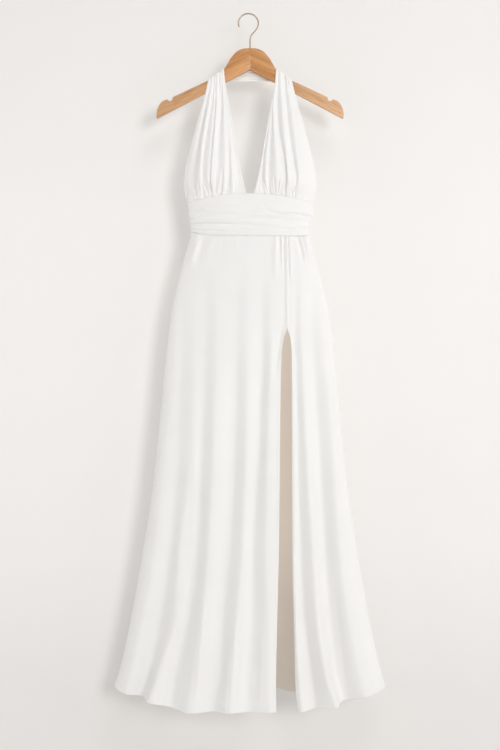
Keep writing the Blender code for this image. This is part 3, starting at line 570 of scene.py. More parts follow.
# Soft lamps in metres: a bright room with its window to the right, and light from behind
DAYLIGHT = (1.0, 0.995, 0.985)
WALL_LIGHT = (1.0, 0.99, 0.975)
Lamp = namedtuple("Lamp", "name at size watts colour")
LAMPS = table(
    Lamp,
    ("key", (2.8, -5.5, 0.3), (1.7, 2.2), 130, DAYLIGHT),
    ("window", (4.6, -1.9, 0.0), (2.6, 3.0), 39, DAYLIGHT),
    ("ceiling", (1.0, -2.6, 2.4), (1.6, 1.6), 33, DAYLIGHT),
    ("room", (-2.4, -3.6, -0.2), (2.6, 2.6), 16, WALL_LIGHT),
    ("left_wall", (-3.6, -0.9, -0.4), (2.4, 2.6), 27, WALL_LIGHT),
    ("back", (-1.2, 2.6, 0.4), (2.4, 2.4), 46, (1.0, 0.99, 0.98)),
)
LAMPS_FACE = (0, 0, -0.85)
ROOM_COLOUR = (0.96, 0.945, 0.93)
ROOM_STRENGTH = 0.208

# Camera, level and straight in front
CAMERA_AT = (3.8, -2600.0, -849.4)
CAMERA_LENS = 53.0
CAMERA_SENSOR = 36.0
CAMERA_SEES = 30.0


# Curves through tables
def smooth(rows, name, at):
    """One column of a table as a smooth curve without overshoot, read by its first column."""
    known = np.array([row[0] for row in rows], float)
    value = np.array([getattr(row, name) for row in rows], float)
    return smooth_through(known, value, at)


def smooth_through(known, value, at):
    """A cubic through points, whose slope is zero at each local high or low."""
    known = np.asarray(known, float)
    value = np.asarray(value, float)
    slope = np.diff(value) / np.diff(known)
    steady = slope[:-1] * slope[1:] > 0
    total = np.where(steady, slope[:-1] + slope[1:], 1.0)
    inner = np.where(steady, 2 * slope[:-1] * slope[1:] / total, 0.0)
    tangent = np.concatenate([slope[:1], inner, slope[-1:]])
    at = np.clip(at, known[0], known[-1])
    i = np.clip(np.searchsorted(known, at) - 1, 0, len(slope) - 1)
    width = known[i + 1] - known[i]
    f = (at - known[i]) / width
    start = (1 + 2 * f) * (1 - f) ** 2 * value[i] + f * (1 - f) ** 2 * width * tangent[i]
    end = f**2 * (3 - 2 * f) * value[i + 1] - f**2 * (1 - f) * width * tangent[i + 1]
    return start + end


def ease(x):
    """0 below 0 and 1 above 1, with a smooth step between."""
    x = np.clip(x, 0.0, 1.0)
    return x * x * (3 - 2 * x)


def bump(distance, spread):
    return np.exp(-((distance / spread) ** 2))


def length_along(*parts):
    """Distance from the start of a line, at each of its points."""
    steps = np.linalg.norm([np.diff(part) for part in parts], axis=0)
    return np.concatenate([[0], np.cumsum(steps)])


def unit(vectors):
    return vectors / np.linalg.norm(vectors, axis=-1, keepdims=True)


def spans(*runs):
    """Places from 0 to 1 in runs of (end, steps), so that some stretches are finer."""
    places = [0.0]
    for end, steps in runs:
        places += list(np.linspace(places[-1], end, steps + 1)[1:])
    return np.array(places)


# The flattened tube that the waistband and the skirt follow
def half_tube(half_width, depth, x_from, x_to, shares):
    """Points at even shares along half of a flattened tube, between two X positions."""
    angle = np.linspace(0, pi, 3 * FINE_STEPS + 1)
    x = -half_width * np.sign(np.cos(angle)) * np.abs(np.cos(angle)) ** (2 / ROUNDING)
    y = depth * np.abs(np.sin(angle)) ** (2 / ROUNDING)
    along = length_along(x, y)
    start = np.interp(x_from, x, along)
    end = np.interp(x_to, x, along)
    wanted = start + (end - start) * shares
    return np.interp(wanted, along, x), np.interp(wanted, along, y)


def section_at(side_drop, face):
    """Half width and depth of the dress at a drop down its side seams."""
    return [float(smooth(SECTIONS, name, side_drop)) for name in ("half_width", face)]


def band_top(x):
    """Drop of the seam between bodice and waistband."""
    return V_POINT + BAND_TOP_RISE * (x / SECTIONS[0].half_width) ** 2


def skirt_sheet(shares, downs, left_edge, right_edge, face):
    """Smooth sheet of a skirt panel between two edges, each a function of the way down."""
    sheet = []
    for down in downs:
        side_drop = WAIST_SIDE + (HEM_SIDE - WAIST_SIDE) * down
        half_width, depth = section_at(side_drop, face)
        x, y = half_tube(
            half_width, depth, left_edge(half_width, down), right_edge(half_width, down), shares
        )
        top = smooth(WAIST_SEAM, face, x / half_width) + SEAM_GAP
        hem = HEM_FRONT - smooth(HEM_RISE, face, x / half_width)
        drop = top + (hem - top) * down
        sheet.append(np.stack([x, OUTWARD[face] * y, -drop], axis=-1))
    return np.array(sheet)


def fold_lift(folds, drops, sheet):
    """Lift and sideways push of each point, smooth along every row from line to line."""
    lift = np.zeros(sheet.shape[:2])
    push = np.zeros_like(lift)
    for r, row in enumerate(sheet):
        x, drop = row[:, 0], -row[:, 2]
        places, heights = [x[0]], [0.0]
        for fold in folds:
            near = smooth_through(drops, fold.x, drop.mean())
            level_drop = np.interp(near, x, drop)
            at = smooth_through(drops, fold.x, level_drop)
            if places[-1] + LEAST_FOLD < at < x[-1] - EDGE_ROOM:
                places.append(at)
                heights.append(smooth_through(drops, fold.lift, level_drop))
            grown = ease((level_drop - LEAN_DROP) / (HEM_FRONT - LEAN_DROP))
            push[r] += fold.lean * grown * bump(x - at, LEAN_SPREAD)
        lift[r] = smooth_through(places + [x[-1]], heights + [0.0], x)
    return lift, push


def skirt_folds(folds, sheet):
    """The folds of a skirt panel, which grow from nothing below the waist."""
    lift, push = fold_lift(folds, FOLD_DROPS, sheet)
    grown = FOLD_DEPTH * ease((-sheet[..., 2] - FOLD_START) / FOLD_GROWTH)
    return lift * grown, push


def gather_lift(gathers, shares, downs):
    """Gathers that start full height at the top seam and fade out down the panel."""
    lift = np.zeros((len(downs), len(shares)))
    for gather in gathers:
        height = gather.lift * (1 - ease(downs / gather.reach))
        wider = gather.spread * (1 + GATHER_WIDENING * downs / gather.reach)
        lift += height[:, None] * bump(shares[None, :] - gather.across, wider[:, None])
    return lift


def crease_lift(sheet, creases, fade_in=0.3, fade_out=0.3):
    """Soft ridges and troughs along bowed lines, seen from the front, that taper at both ends."""
    flat = sheet[..., [0, 2]]
    lift = np.zeros(sheet.shape[:2])
    for crease in creases:
        start = np.array([crease.x, -crease.drop])
        run = np.array([crease.to_x, -crease.to_drop]) - start
        length = np.hypot(*run)
        direction = run / length
        side = np.array([-direction[1], direction[0]])
        along = (flat - start) @ direction / length
        away = (flat - start) @ side - crease.bow * 4 * along * (1 - along)
        taper = ease(along / fade_in) * ease((1 - along) / fade_out)
        lift += crease.lift * taper * bump(away, crease.width)
    return lift


def slit_down():
    return (SLIT_TOP - WAIST_FRONT) / (HEM_FRONT - WAIST_FRONT)


def slit_edge(side, down):
    drop = WAIST_FRONT + (HEM_FRONT - WAIST_FRONT) * down
    return float(smooth(SLIT, side, drop))


# Distances and normals on sheets
def distance_from(sheet, edge):
    """How far each point lies from an edge of its sheet, along the cloth."""
    axis = 0 if edge in ("top", "bottom") else 1
    steps = np.linalg.norm(np.diff(sheet, axis=axis), axis=-1)
    zero = np.zeros_like(np.take(steps, [0], axis=axis))
    if edge in ("top", "left"):
        return np.concatenate([zero, np.cumsum(steps, axis=axis)], axis=axis)
    backwards = np.flip(np.cumsum(np.flip(steps, axis=axis), axis=axis), axis=axis)
    return np.concatenate([backwards, zero], axis=axis)


def normals_of(sheet, outward):
    """Unit normals of a sheet, on the side that the outward sign gives."""
    across = np.gradient(sheet, axis=1)
    along = np.gradient(sheet, axis=0)
    return unit(np.cross(across, along) * outward)


def level(normals, rows=(), columns=()):
    """Turns the normals along seams level, so that sewn edges meet face to face."""
    for row in rows:
        normals[row, :, 2] = 0
    for column in columns:
        normals[:, column, 1:] = 0
    return unit(normals)


def moved(sheet, normals, lift, push=None):
    out = sheet + normals * lift[..., None]
    if push is not None:
        out[..., 0] += push
    return out


# Materials
Material = namedtuple("Material", "made nodes links shader")

# Sockets of a mix node for its two colours and its result
MIX_FIRST, MIX_SECOND, MIX_RESULT = 6, 7, 2


def new_material(name):
    made = bpy.data.materials.new(name)
    made.use_nodes = True
    tree = made.node_tree
    return Material(made, tree.nodes, tree.links, tree.nodes["Principled BSDF"])


def add_node(material, kind, **settings):
    """A node whose inputs and properties are set by name."""
    made = material.nodes.new(kind)
    for key, value in settings.items():
        if key in made.inputs:
            made.inputs[key].default_value = value
        else:
            setattr(made, key, value)
    return made


def object_texture(material, kind, scale, stretch=(1, 1, 1), turn=(0, 0, 0), **settings):
    """A texture in the object's own metres, stretched and turned."""
    place = material.nodes.new("ShaderNodeTexCoord")
    longer = tuple(1 / part for part in stretch)
    mapping = add_node(
        material, "ShaderNodeMapping", vector_type="TEXTURE", Scale=longer, Rotation=turn
    )
    material.links.new(place.outputs["Object"], mapping.inputs["Vector"])
    texture = add_node(material, kind, Scale=scale, **settings)
    material.links.new(mapping.outputs["Vector"], texture.inputs["Vector"])
    return texture


def noise(material, scale, **settings):
    return object_texture(material, "ShaderNodeTexNoise", scale, **settings)


def position(material, axis):
    """One coordinate in the object's own metres."""
    place = material.nodes.new("ShaderNodeTexCoord")
    split = material.nodes.new("ShaderNodeSeparateXYZ")
    material.links.new(place.outputs["Object"], split.inputs["Vector"])
    return split.outputs[axis]


def ramp(material, source, *stops):
    """Colours by the value of a texture, as (place, colour) stops."""
    made = material.nodes.new("ShaderNodeValToRGB")
    elements = made.color_ramp.elements
    elements[0].position = stops[0][0]
    elements[0].color = (*stops[0][1], 1)
    elements[1].position = stops[-1][0]
    elements[1].color = (*stops[-1][1], 1)
    for place, colour in stops[1:-1]:
        elements.new(place).color = (*colour, 1)
    material.links.new(source, made.inputs["Fac"])
    return made.outputs["Color"]


def colour_by(material, texture, *stops):
    """Base colour by the value of a texture."""
    colour = ramp(material, texture.outputs["Fac"], *stops)
    material.links.new(colour, material.shader.inputs["Base Color"])


def rough_by(material, texture, low, high):
    """Roughness between two values, by the value of a texture."""
    share = add_node(material, "ShaderNodeMapRange", **{"To Min": low, "To Max": high})
    material.links.new(texture.outputs["Fac"], share.inputs["Value"])
    material.links.new(share.outputs["Result"], material.shader.inputs["Roughness"])


def relief_by(material, texture, strength, depth, under=None):
    """Fine relief by the value of a texture, laid over another relief if there is one."""
    made = add_node(material, "ShaderNodeBump", Strength=strength, Distance=depth)
    material.links.new(texture.outputs["Fac"], made.inputs["Height"])
    if under:
        material.links.new(under.outputs["Normal"], made.inputs["Normal"])
    material.links.new(made.outputs["Normal"], material.shader.inputs["Normal"])
    return made


def glow(material, colour, levels):
    """Painted light: a surface glows though it is no lamp, in a strength that changes with height.
    """
    low, high = levels[0][0], levels[-1][0]
    share = add_node(material, "ShaderNodeMapRange", **{"From Min": low, "From Max": high})
    material.links.new(position(material, "Z"), share.inputs["Value"])
    stops = []
    for height, strength in levels:
        stops.append(((height - low) / (high - low), tuple(strength * part for part in colour)))
    light = ramp(material, share.outputs["Result"], *stops)
    material.links.new(light, material.shader.inputs["Emission Color"])
    material.shader.inputs["Emission Strength"].default_value = 1.0


def jersey(name, light, shade, through=None):
    """Smooth stretch jersey: faint uneven tone, fine knit ribs and a soft sheen.

    Through is a painted glow by height on the cloth's shaded side, in place of light that comes
    through the thin cloth.
    """
    material = new_material(name)
    if through:
        glow(material, (1.0, 0.91, 0.82), through)
    cloudy = noise(material, 9.0, Detail=4.0, Roughness=0.6)
    colour_by(material, cloudy, (0.3, shade), (0.7, light))
    rough_by(material, cloudy, 0.46, 0.6)
    material.shader.inputs["Sheen Weight"].default_value = 0.25
    material.shader.inputs["Sheen Roughness"].default_value = 0.45
    material.shader.inputs["Specular IOR Level"].default_value = 0.38
    ribs = object_texture(
        material, "ShaderNodeTexWave", 420.0, Distortion=1.2, Detail=2.0, wave_type="BANDS"
    )
    grain = noise(material, 900.0, stretch=(1, 1, 0.45), Detail=3.0)
    knit = relief_by(material, ribs, 0.12, 0.0002)
    relief_by(material, grain, 0.16, 0.0002, knit)
    return material.made


def thread(name):
    material = new_material(name)
    twist = noise(material, 1500.0, Detail=2.0)
    colour_by(material, twist, (0.3, (0.80, 0.79, 0.77)), (0.7, (0.92, 0.91, 0.9)))
    material.shader.inputs["Roughness"].default_value = 0.6
    return material.made


def paler_outwards(material, colour):
    """The same wood, paler away from the middle of the hanger."""
    out = add_node(material, "ShaderNodeMath", operation="ABSOLUTE")
    share = add_node(
        material, "ShaderNodeMapRange", **{"From Min": 0.05, "From Max": 0.12, "To Max": 0.3}
    )
    mixed = add_node(material, "ShaderNodeMix", data_type="RGBA")
    material.links.new(position(material, "X"), out.inputs[0])
    material.links.new(out.outputs["Value"], share.inputs["Value"])
    material.links.new(share.outputs["Result"], mixed.inputs["Factor"])
    material.links.new(colour, mixed.inputs[MIX_FIRST])
    mixed.inputs[MIX_SECOND].default_value = (0.78, 0.58, 0.38, 1)
    return mixed.outputs[MIX_RESULT]


def beech(name, turn):
    """Varnished beech with its grain along the arm and short darker flecks."""
    material = new_material(name)
    along = (0, turn, 0)
    grain = noise(
        material, 34.0, stretch=(0.16, 1.4, 2.2), turn=along, Detail=7.0, Roughness=0.62,
        Distortion=0.5,
    )
    flecks = noise(material, 260.0, stretch=(0.10, 1.0, 1.0), turn=along, Detail=2.0)
    colour = ramp(
        material, grain.outputs["Fac"],
        (0.28, (0.40, 0.165, 0.052)), (0.48, (0.60, 0.28, 0.10)), (0.70, (0.73, 0.375, 0.15)),
    )
    fleck = ramp(material, flecks.outputs["Fac"], (0.56, (1, 1, 1)), (0.72, (0.78, 0.66, 0.55)))
    mixed = add_node(material, "ShaderNodeMix", data_type="RGBA", blend_type="MULTIPLY")
    mixed.inputs["Factor"].default_value = 0.7
    material.links.new(paler_outwards(material, colour), mixed.inputs[MIX_FIRST])
    material.links.new(fleck, mixed.inputs[MIX_SECOND])
    material.links.new(mixed.outputs[MIX_RESULT], material.shader.inputs["Base Color"])
    rough_by(material, grain, 0.42, 0.3)
    material.shader.inputs["Coat Weight"].default_value = 0.25
    material.shader.inputs["Coat Roughness"].default_value = 0.3
    relief_by(material, flecks, 0.2, 0.0003)
    return material.made


def wire_metal(name):
    material = new_material(name)
    worn = noise(material, 60.0, Detail=3.0)
    colour_by(material, worn, (0.3, (0.45, 0.33, 0.25)), (0.7, (0.55, 0.42, 0.33)))
    rough_by(material, worn, 0.32, 0.42)
    material.shader.inputs["Metallic"].default_value = 1.0
    return material.made


def paint(name, colour, levels, one_sided):
    """Matt paint of the stage, with a painted glow by height. A one-sided wall lets a view from
    behind it through.
    """
    material = new_material(name)
    glow(material, (1.0, 0.975, 0.945), levels)
    mottle = noise(material, 3.0, Detail=5.0)
    darker = tuple(0.985 * part for part in colour)
    colour_by(material, mottle, (0.3, darker), (0.7, colour))
    material.shader.inputs["Roughness"].default_value = 0.9
    material.shader.inputs["Specular IOR Level"].default_value = 0.1
    if one_sided:
        clear = material.nodes.new("ShaderNodeBsdfTransparent")
        facing = material.nodes.new("ShaderNodeNewGeometry")
        choice = material.nodes.new("ShaderNodeMixShader")
        surface = material.nodes["Material Output"].inputs["Surface"]
        material.links.new(facing.outputs["Backfacing"], choice.inputs["Fac"])
        material.links.new(material.shader.outputs["BSDF"], choice.inputs[1])
        material.links.new(clear.outputs["BSDF"], choice.inputs[2])
        material.links.new(choice.outputs["Shader"], surface)
    return material.made


# Meshes
def new_object(name, data):
    thing = bpy.data.objects.new(name, data)
    bpy.context.scene.collection.objects.link(thing)
    return thing


def mesh_object(name, points, faces, looks, face_looks=None):
    """A smooth closed mesh from points in millimetres that count X from the centre line."""
    mesh = bpy.data.meshes.new(name)
    placed = (np.asarray(points, float) + (CENTRE_LINE, 0, 0)) * MM
    mesh.from_pydata(placed.tolist(), [], faces)
    for look in looks:
        mesh.materials.append(look)
    if face_looks is not None:
        mesh.polygons.foreach_set("material_index", face_looks)
    made = bmesh.new()
    made.from_mesh(mesh)
    bmesh.ops.recalc_face_normals(made, faces=made.faces)
    made.to_mesh(mesh)
    made.free()
    mesh.shade_smooth()
    return new_object(name, mesh)


def shell(name, sheet, normals, thickness, looks):
    """A thin closed wall of cloth round a sheet, with its inside in the last look."""
    rows, columns = sheet.shape[:2]
    count = rows * columns
    half = thickness[..., None] / 2
    points = np.concatenate(
        [(sheet + normals * half).reshape(-1, 3), (sheet - normals * half).reshape(-1, 3)]
    )
    a = (np.arange(rows - 1)[:, None] * columns + np.arange(columns - 1)[None, :]).ravel()
    outer = np.stack([a, a + 1, a + columns + 1, a + columns], axis=-1)
    inner = outer[:, ::-1] + count
    rim = list(range(columns))
    rim += [r * columns + columns - 1 for r in range(1, rows)]
    rim += [(rows - 1) * columns + c for c in range(columns - 2, -1, -1)]
    rim += [r * columns for r in range(rows - 2, 0, -1)]
    rim = np.array(rim)
    after = np.roll(rim, -1)
    edge = np.stack([after, rim, count + rim, count + after], axis=-1)
    faces = np.concatenate([outer, inner, edge])
    index = np.zeros(len(faces), int)
    index[len(outer) : len(outer) + len(inner)] = len(looks) - 1
    return mesh_object(name, points, faces.tolist(), looks, index)


def edge_line(sheet, normals, thickness, edge, at):
    """Points and normals on the outer face along a line at one distance from an edge."""
    away = distance_from(sheet, edge)
    surface = sheet + normals * (thickness / 2)[..., None]
    stacked = np.concatenate([surface, normals], axis=-1)
    if edge in ("top", "bottom"):
        away = away.T
        stacked = stacked.transpose(1, 0, 2)
    line = []
    for distances, values in zip(away, stacked):
        order = slice(None) if distances[-1] > distances[0] else slice(None, None, -1)
        line.append([np.interp(at, distances[order], column[order]) for column in values.T])
    line = np.array(line)
    return line[:, :3], line[:, 3:]


def stitches(name, lines, look):
    """Running stitches along lines of (points, normals), each a short thread with pointed ends."""
    points = []
    faces = []
    for path, outward in lines:
        along = length_along(*path.T)
        for start in np.arange(STITCH_PITCH, along[-1] - STITCH_PITCH, STITCH_PITCH):
            knots = start + STITCH_LENGTH * np.array(STITCH_KNOTS)
            centre = np.stack([np.interp(knots, along, part) for part in path.T], axis=-1)
            up = np.stack([np.interp(knots, along, part) for part in outward.T], axis=-1)
            side = unit(np.cross(unit(centre[-1] - centre[0]), up[0]))
            first = len(points)
            points.append(centre[0] - up[0] * STITCH_RADIUS)
            for knot in (1, 2):
                middle = centre[knot] + up[knot] * STITCH_RADIUS * STITCH_RISE
                for turn in np.linspace(0, 2 * pi, STITCH_SIDES, endpoint=False):
                    ring = side * np.cos(turn) + up[knot] * np.sin(turn)
                    points.append(middle + ring * STITCH_RADIUS)
            points.append(centre[3] - up[3] * STITCH_RADIUS)
            near, far = first + 1, first + 1 + STITCH_SIDES
            for k in range(STITCH_SIDES):
                after = (k + 1) % STITCH_SIDES
                faces.append((first, near + k, near + after))
                faces.append((near + k, far + k, far + after, near + after))
                faces.append((far + STITCH_SIDES, far + after, far + k))
    made = mesh_object(name, points, faces, [look])
    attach(made, "root")
    return made


def cloth_piece(made, node, sewn_on=()):
    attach(made, "root")
    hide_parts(node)


def hemmed(sheet, *edges):
    """Thickness of the cloth, double along its hemmed edges with a dip at the stitches."""
    thickness = np.full(sheet.shape[:2], CLOTH)
    for edge, width in edges:
        away = distance_from(sheet, edge)
        doubled = (HEM_CLOTH - CLOTH) * (1 - ease((away - width) / HEM_STEP))
        dip = HEM_DIP * bump(away - width, HEM_DIP_SPREAD)
        thickness = np.maximum(thickness, CLOTH + doubled) - dip
    return thickness


# Skirt
def side_fade(shares):
    """Folds die away towards a side seam, which is at share 0."""
    return ease(shares / SIDE_FADE)[None, :]


def sewn_fade(shares, downs):
    """Folds die away towards the sewn stretch above the slit, which is at share 0."""
    near = 1 - ease(shares / SEWN_FADE)[None, :]
    sewn = 1 - ease((downs - slit_down()) / SEWN_END)[:, None]
    return 1 - near * sewn


def ridge(sheet, downs, edge):
    """The raised seam that runs from the waist down to the top of the slit."""
    away = np.abs(sheet[..., 0] - sheet[:, edge, 0][:, None])
    sewn = 1 - ease((downs - slit_down()) / RIDGE_END)
    return SEAM_RIDGE * sewn[:, None] * bump(away, SEAM_RIDGE_SPREAD)


def hem_flare(sheet):
    """The last stretch above the hem turns a little outwards."""
    return HEM_FLARE * (1 - ease(distance_from(sheet, "bottom") / HEM_FLARE_FROM))


def skirt_rows():
    """Rows down a skirt panel, closer at the gathers, round the slit's top and at the hem."""
    return spans((0.12, 34), (0.18, 10), (0.26, 24), (0.97, 78), (0.988, 6), (1.0, 14))


def skirt_shell(name, sheet, lift, push, side_columns, looks, hems, slit_column=None):
    """The shell of a skirt panel, and its sheet, normals and thickness for the sewing."""
    outward = np.sign(sheet[..., 1].mean())
    sewn_rows = np.count_nonzero(skirt_rows() <= slit_down()) if slit_column is not None else 0

    def seam_normals(points):
        normals = normals_of(points, outward)
        if sewn_rows:
            normals[:sewn_rows, slit_column, 0] = 0
        return level(normals, rows=(0,), columns=side_columns)

    folded = moved(sheet, seam_normals(sheet), lift + hem_flare(sheet), push)
    normals = seam_normals(folded)
    thickness = hemmed(folded, *hems)
    made = shell(name, folded, normals, thickness, looks)
    return made, (folded, normals, thickness)


def front_sheet(panel, shares, downs):
    """Smooth sheet of a front panel, between its side seam and the edge of the slit."""
    sign = -1 if panel.side == "left" else 1

    def at_seam(half_width, down):
        return sign * half_width

    def at_slit(half_width, down):
        return slit_edge(panel.side, down) + sign * HALF_GAP

    edges = (at_seam, at_slit) if panel.side == "left" else (at_slit, at_seam)
    sheet = skirt_sheet(shares, downs, *edges, "front")
    sheet[:, panel.seam, 1] = -HALF_GAP
    return sheet


def front_lift(panel, sheet, shares, downs):
    """Lift and sideways push of a front panel, from its folds, gathers, creases and raised seam."""
    from_seam = shares if panel.side == "left" else 1 - shares
    at_side = side_fade(from_seam)
    fade = at_side * sewn_fade(1 - from_seam, downs)
    lift, push = skirt_folds(panel.folds, sheet)
    gathers = gather_lift(panel.gathers, shares, downs)
    if panel.side == "right":
        gathers *= at_side
    lift = lift * fade + gathers
    lift += ridge(sheet, downs, panel.slit) + crease_lift(sheet, panel.creases) * at_side
    return lift, push * fade


def front_skirt(panel, looks, thread_look):
    shares = spans(*panel.shares)
    downs = skirt_rows()
    sheet = front_sheet(panel, shares, downs)
    lift, push = front_lift(panel, sheet, shares, downs)
    hems = (("bottom", HEM_STITCH_AT), (panel.slit_name, EDGE_STITCH_AT))
    node = f"skirt_front_{panel.side}"
    made, cloth = skirt_shell(
        f"{node}_cloth", sheet, lift, push, (panel.seam,), looks, hems, slit_column=panel.slit
    )
    path, outward = edge_line(*cloth, panel.slit_name, EDGE_STITCH_AT)
    below = downs > slit_down()
    lines = [edge_line(*cloth, "bottom", HEM_STITCH_AT), (path[below], outward[below])]
    cloth_piece(made, node, [stitches(f"{node}_stitches", lines, thread_look)])


def back_skirt(looks, thread_look):
    shares = spans((1.0, BACK_COLUMNS))
    downs = skirt_rows()
    sheet = skirt_sheet(
        shares,
        downs,
        lambda half_width, down: -half_width,
        lambda half_width, down: half_width,
        "back",
    )
    sheet[:, [0, -1], 1] = HALF_GAP
    lift, push = skirt_folds(BACK_FOLDS, sheet)
    fade = side_fade(shares) * side_fade(1 - shares)
    lift = lift + gather_lift(BACK_GATHERS, shares, downs) + crease_lift(sheet, BACK_CREASES)
    hems = (("bottom", HEM_STITCH_AT),)
    made, cloth = skirt_shell(
        "skirt_back_cloth", sheet, lift * fade, push * fade, (0, -1), looks, hems
    )
    lines = [edge_line(*cloth, "bottom", HEM_STITCH_AT)]
    cloth_piece(made, "skirt_back", [stitches("skirt_back_stitches", lines, thread_look)])


# Waistband
def band_sheet(across, heights, face):
    """Smooth sheet of half of the waistband, from its top seam down to the skirt."""
    shares = (across + 1) / 2
    sheet = []
    for height in heights:
        side_drop = BAND_TOP_SIDE + (WAIST_SIDE - BAND_TOP_SIDE) * height
        half_width, depth = section_at(side_drop, face)
        x, y = half_tube(half_width, depth, -half_width, half_width, shares)
        place = x / half_width
        top = band_top(x) if face == "front" else back_band_top(place)
        low = smooth(WAIST_SEAM, face, place)
        drop = top + (low - top) * height
        y[[0, -1]] = HALF_GAP
        sheet.append(np.stack([x, OUTWARD[face] * y, -drop], axis=-1))
    return np.array(sheet)


def back_band_top(place):
    return BAND_TOP_SIDE + BACK_TOP_DIP * (1 - place**2)


def ruche_lift(ruches, across, heights):
    lift = np.zeros((len(heights), len(across)))
    for ruche in ruches:
        ends = (ruche.start, (ruche.start + ruche.end) / 2, ruche.end)
        at = smooth_through(ends, (ruche.left, ruche.middle, ruche.right), across)
        fade = ease((across - ruche.start + RUCHE_FADE) / RUCHE_FADE)
        fade = fade * ease((ruche.end + RUCHE_FADE - across) / RUCHE_FADE)
        shape = bump(heights[:, None] - at[None, :], ruche.spread)
        lift += ruche.lift * fade[None, :] * shape
    roll = smooth(BAND_ROLLS, "lift", across)
    lift += roll[None, :] * bump(heights[:, None] - BAND_ROLL_AT, BAND_ROLL_SPREAD)
    return lift


def waistband(face, ruches, creases, looks):
    across = np.linspace(-1, 1, BAND_COLUMNS + 1)
    heights = spans(*BAND_ROWS)
    sheet = band_sheet(across, heights, face)
    inward = ease((1 - np.abs(across)) / BAND_END_FADE)[None, :]
    low = BAND_LOW_LIFT + (1 - BAND_LOW_LIFT) * ease((1 - heights) / BAND_END_FADE)
    edges = (ease(heights / BAND_TOP_FADE) * low)[:, None]
    lift = ruche_lift(ruches, across, heights) + BAND_CREASE_DEPTH * crease_lift(sheet, creases)
    lift = lift * inward * edges
    seams = {"rows": (0, -1), "columns": (0, -1)}
    folded = moved(sheet, level(normals_of(sheet, OUTWARD[face]), **seams), lift)
    turned = level(normals_of(folded, OUTWARD[face]), **seams)
    thickness = np.full(folded.shape[:2], CLOTH)
    node = f"waistband_{face}"
    cloth_piece(shell(f"{node}_cloth", folded, turned, thickness, looks), node)


# Halter panels and the neck band
def halter_row(down, shares):
    """One row across a halter panel, at a share of the way down from arm to bust seam."""
    at = Halter(*[float(smooth(HALTER, name, down)) for name in Halter._fields])
    blend = float(ease((down - SEAM_BLEND) / (1 - SEAM_BLEND)))
    fine = np.linspace(0, 1, FINE_STEPS + 1)
    x = at.inner_x + (at.outer_x - at.inner_x) * fine
    rise = np.sin(pi / 2 * np.minimum(fine / HALTER_CREST, 1))
    inside = at.inner_out + (at.crest_out - at.inner_out) * rise
    past = np.clip((fine - HALTER_CREST) / (1 - HALTER_CREST), 0, 1)
    free = inside + (at.outer_out - at.crest_out) * past**HALTER_FALL
    top = SECTIONS[0]
    inner_part = np.clip(1 - (x / top.half_width) ** ROUNDING, 0, 1)
    out = (1 - blend) * free + blend * top.front * inner_part ** (1 / ROUNDING)
    along = length_along(x, out)
    wanted = along[-1] * shares
    x = np.interp(wanted, along, x)
    out = np.interp(wanted, along, out)
    hung = at.inner_drop + (at.outer_drop - at.inner_drop) * shares ** (1 + down)
    seam = V_POINT + BAND_TOP_RISE * shares**2
    drop = hung + blend * (band_top(x) - SEAM_GAP - seam)
    return x, out, drop


def loop_over_arm():
    """Path over the arm, from behind to the front, as (distance behind, distance below)."""
    flat = LOOP_OUT - LOOP_BEND
    quarter = np.linspace(0, pi / 2, LOOP_STEPS + 1)
    behind = [(LOOP_OUT, LOOP_DEPTH), (LOOP_OUT, (LOOP_DEPTH + LOOP_BEND) / 2)]
    behind += [(flat + LOOP_BEND * np.cos(t), LOOP_BEND * (1 - np.sin(t))) for t in quarter]
    over = [(y, 0.0) for y in np.linspace(flat, -flat, LOOP_STEPS)[1:-1]]
    front = [(-flat - LOOP_BEND * np.sin(t), LOOP_BEND * (1 - np.cos(t))) for t in quarter]
    return behind + over + front


def halter_sheet(shares, downs):
    """Right-hand halter panel: behind the arm, over its top edge and down the front.

    Behind the arm the panel turns towards the neck band, and in front it hangs.
    """
    sheet = []
    line_x, _, line_drop = halter_row(0.0, shares)
    for behind, below in loop_over_arm():
        if behind > 0:
            x, drop = line_x - below, line_drop
        else:
            x, _, drop = halter_row(LOOP_SHARE * below / LOOP_DEPTH, shares)
        sheet.append(np.stack([x, np.full_like(x, behind), -drop], axis=-1))
    for down in downs:
        x, out, drop = halter_row(down, shares)
        sheet.append(np.stack([x, -out, -drop], axis=-1))
    return np.array(sheet)


def halter_panel(side_name, pleats, creases, side, looks):
    shares = spans(*HALTER_COLUMNS)
    downs = spans(*HALTER_ROWS)[1:] * (1 - LOOP_SHARE) + LOOP_SHARE
    sheet = halter_sheet(shares, downs)
    sheet[0, :, 0] += HALF_GAP
    lift, _ = fold_lift(pleats, PLEAT_DROPS, sheet)
    lift *= 1 + PLEAT_EXTRA * ease((-sheet[..., 2] - PLEAT_DROPS[0]) / PLEAT_GROWTH)
    lift += crease_lift(sheet, creases, *HALTER_CREASE_FADES)
    normals = halter_normals(sheet)
    folded = moved(sheet, normals, lift)
    normals = halter_normals(folded)
    folded[..., 0] *= side
    normals[..., 0] *= side
    near = np.minimum(distance_from(folded, "left"), distance_from(folded, "right"))
    rolled = 1 - ease((near - EDGE_ROLL + EDGE_STEP) / EDGE_STEP)
    thickness = CLOTH + (EDGE_CLOTH - CLOTH) * rolled
    node = f"halter_{side_name}"
    cloth_piece(shell(f"{node}_cloth", folded, normals, thickness, looks), node)


def halter_normals(sheet):
    """Normals that are level at the bust seam and face straight back at the neck seam."""
    normals = level(normals_of(sheet, -1), rows=(-1,))
    normals[0] = (0, 1, 0)
    return normals


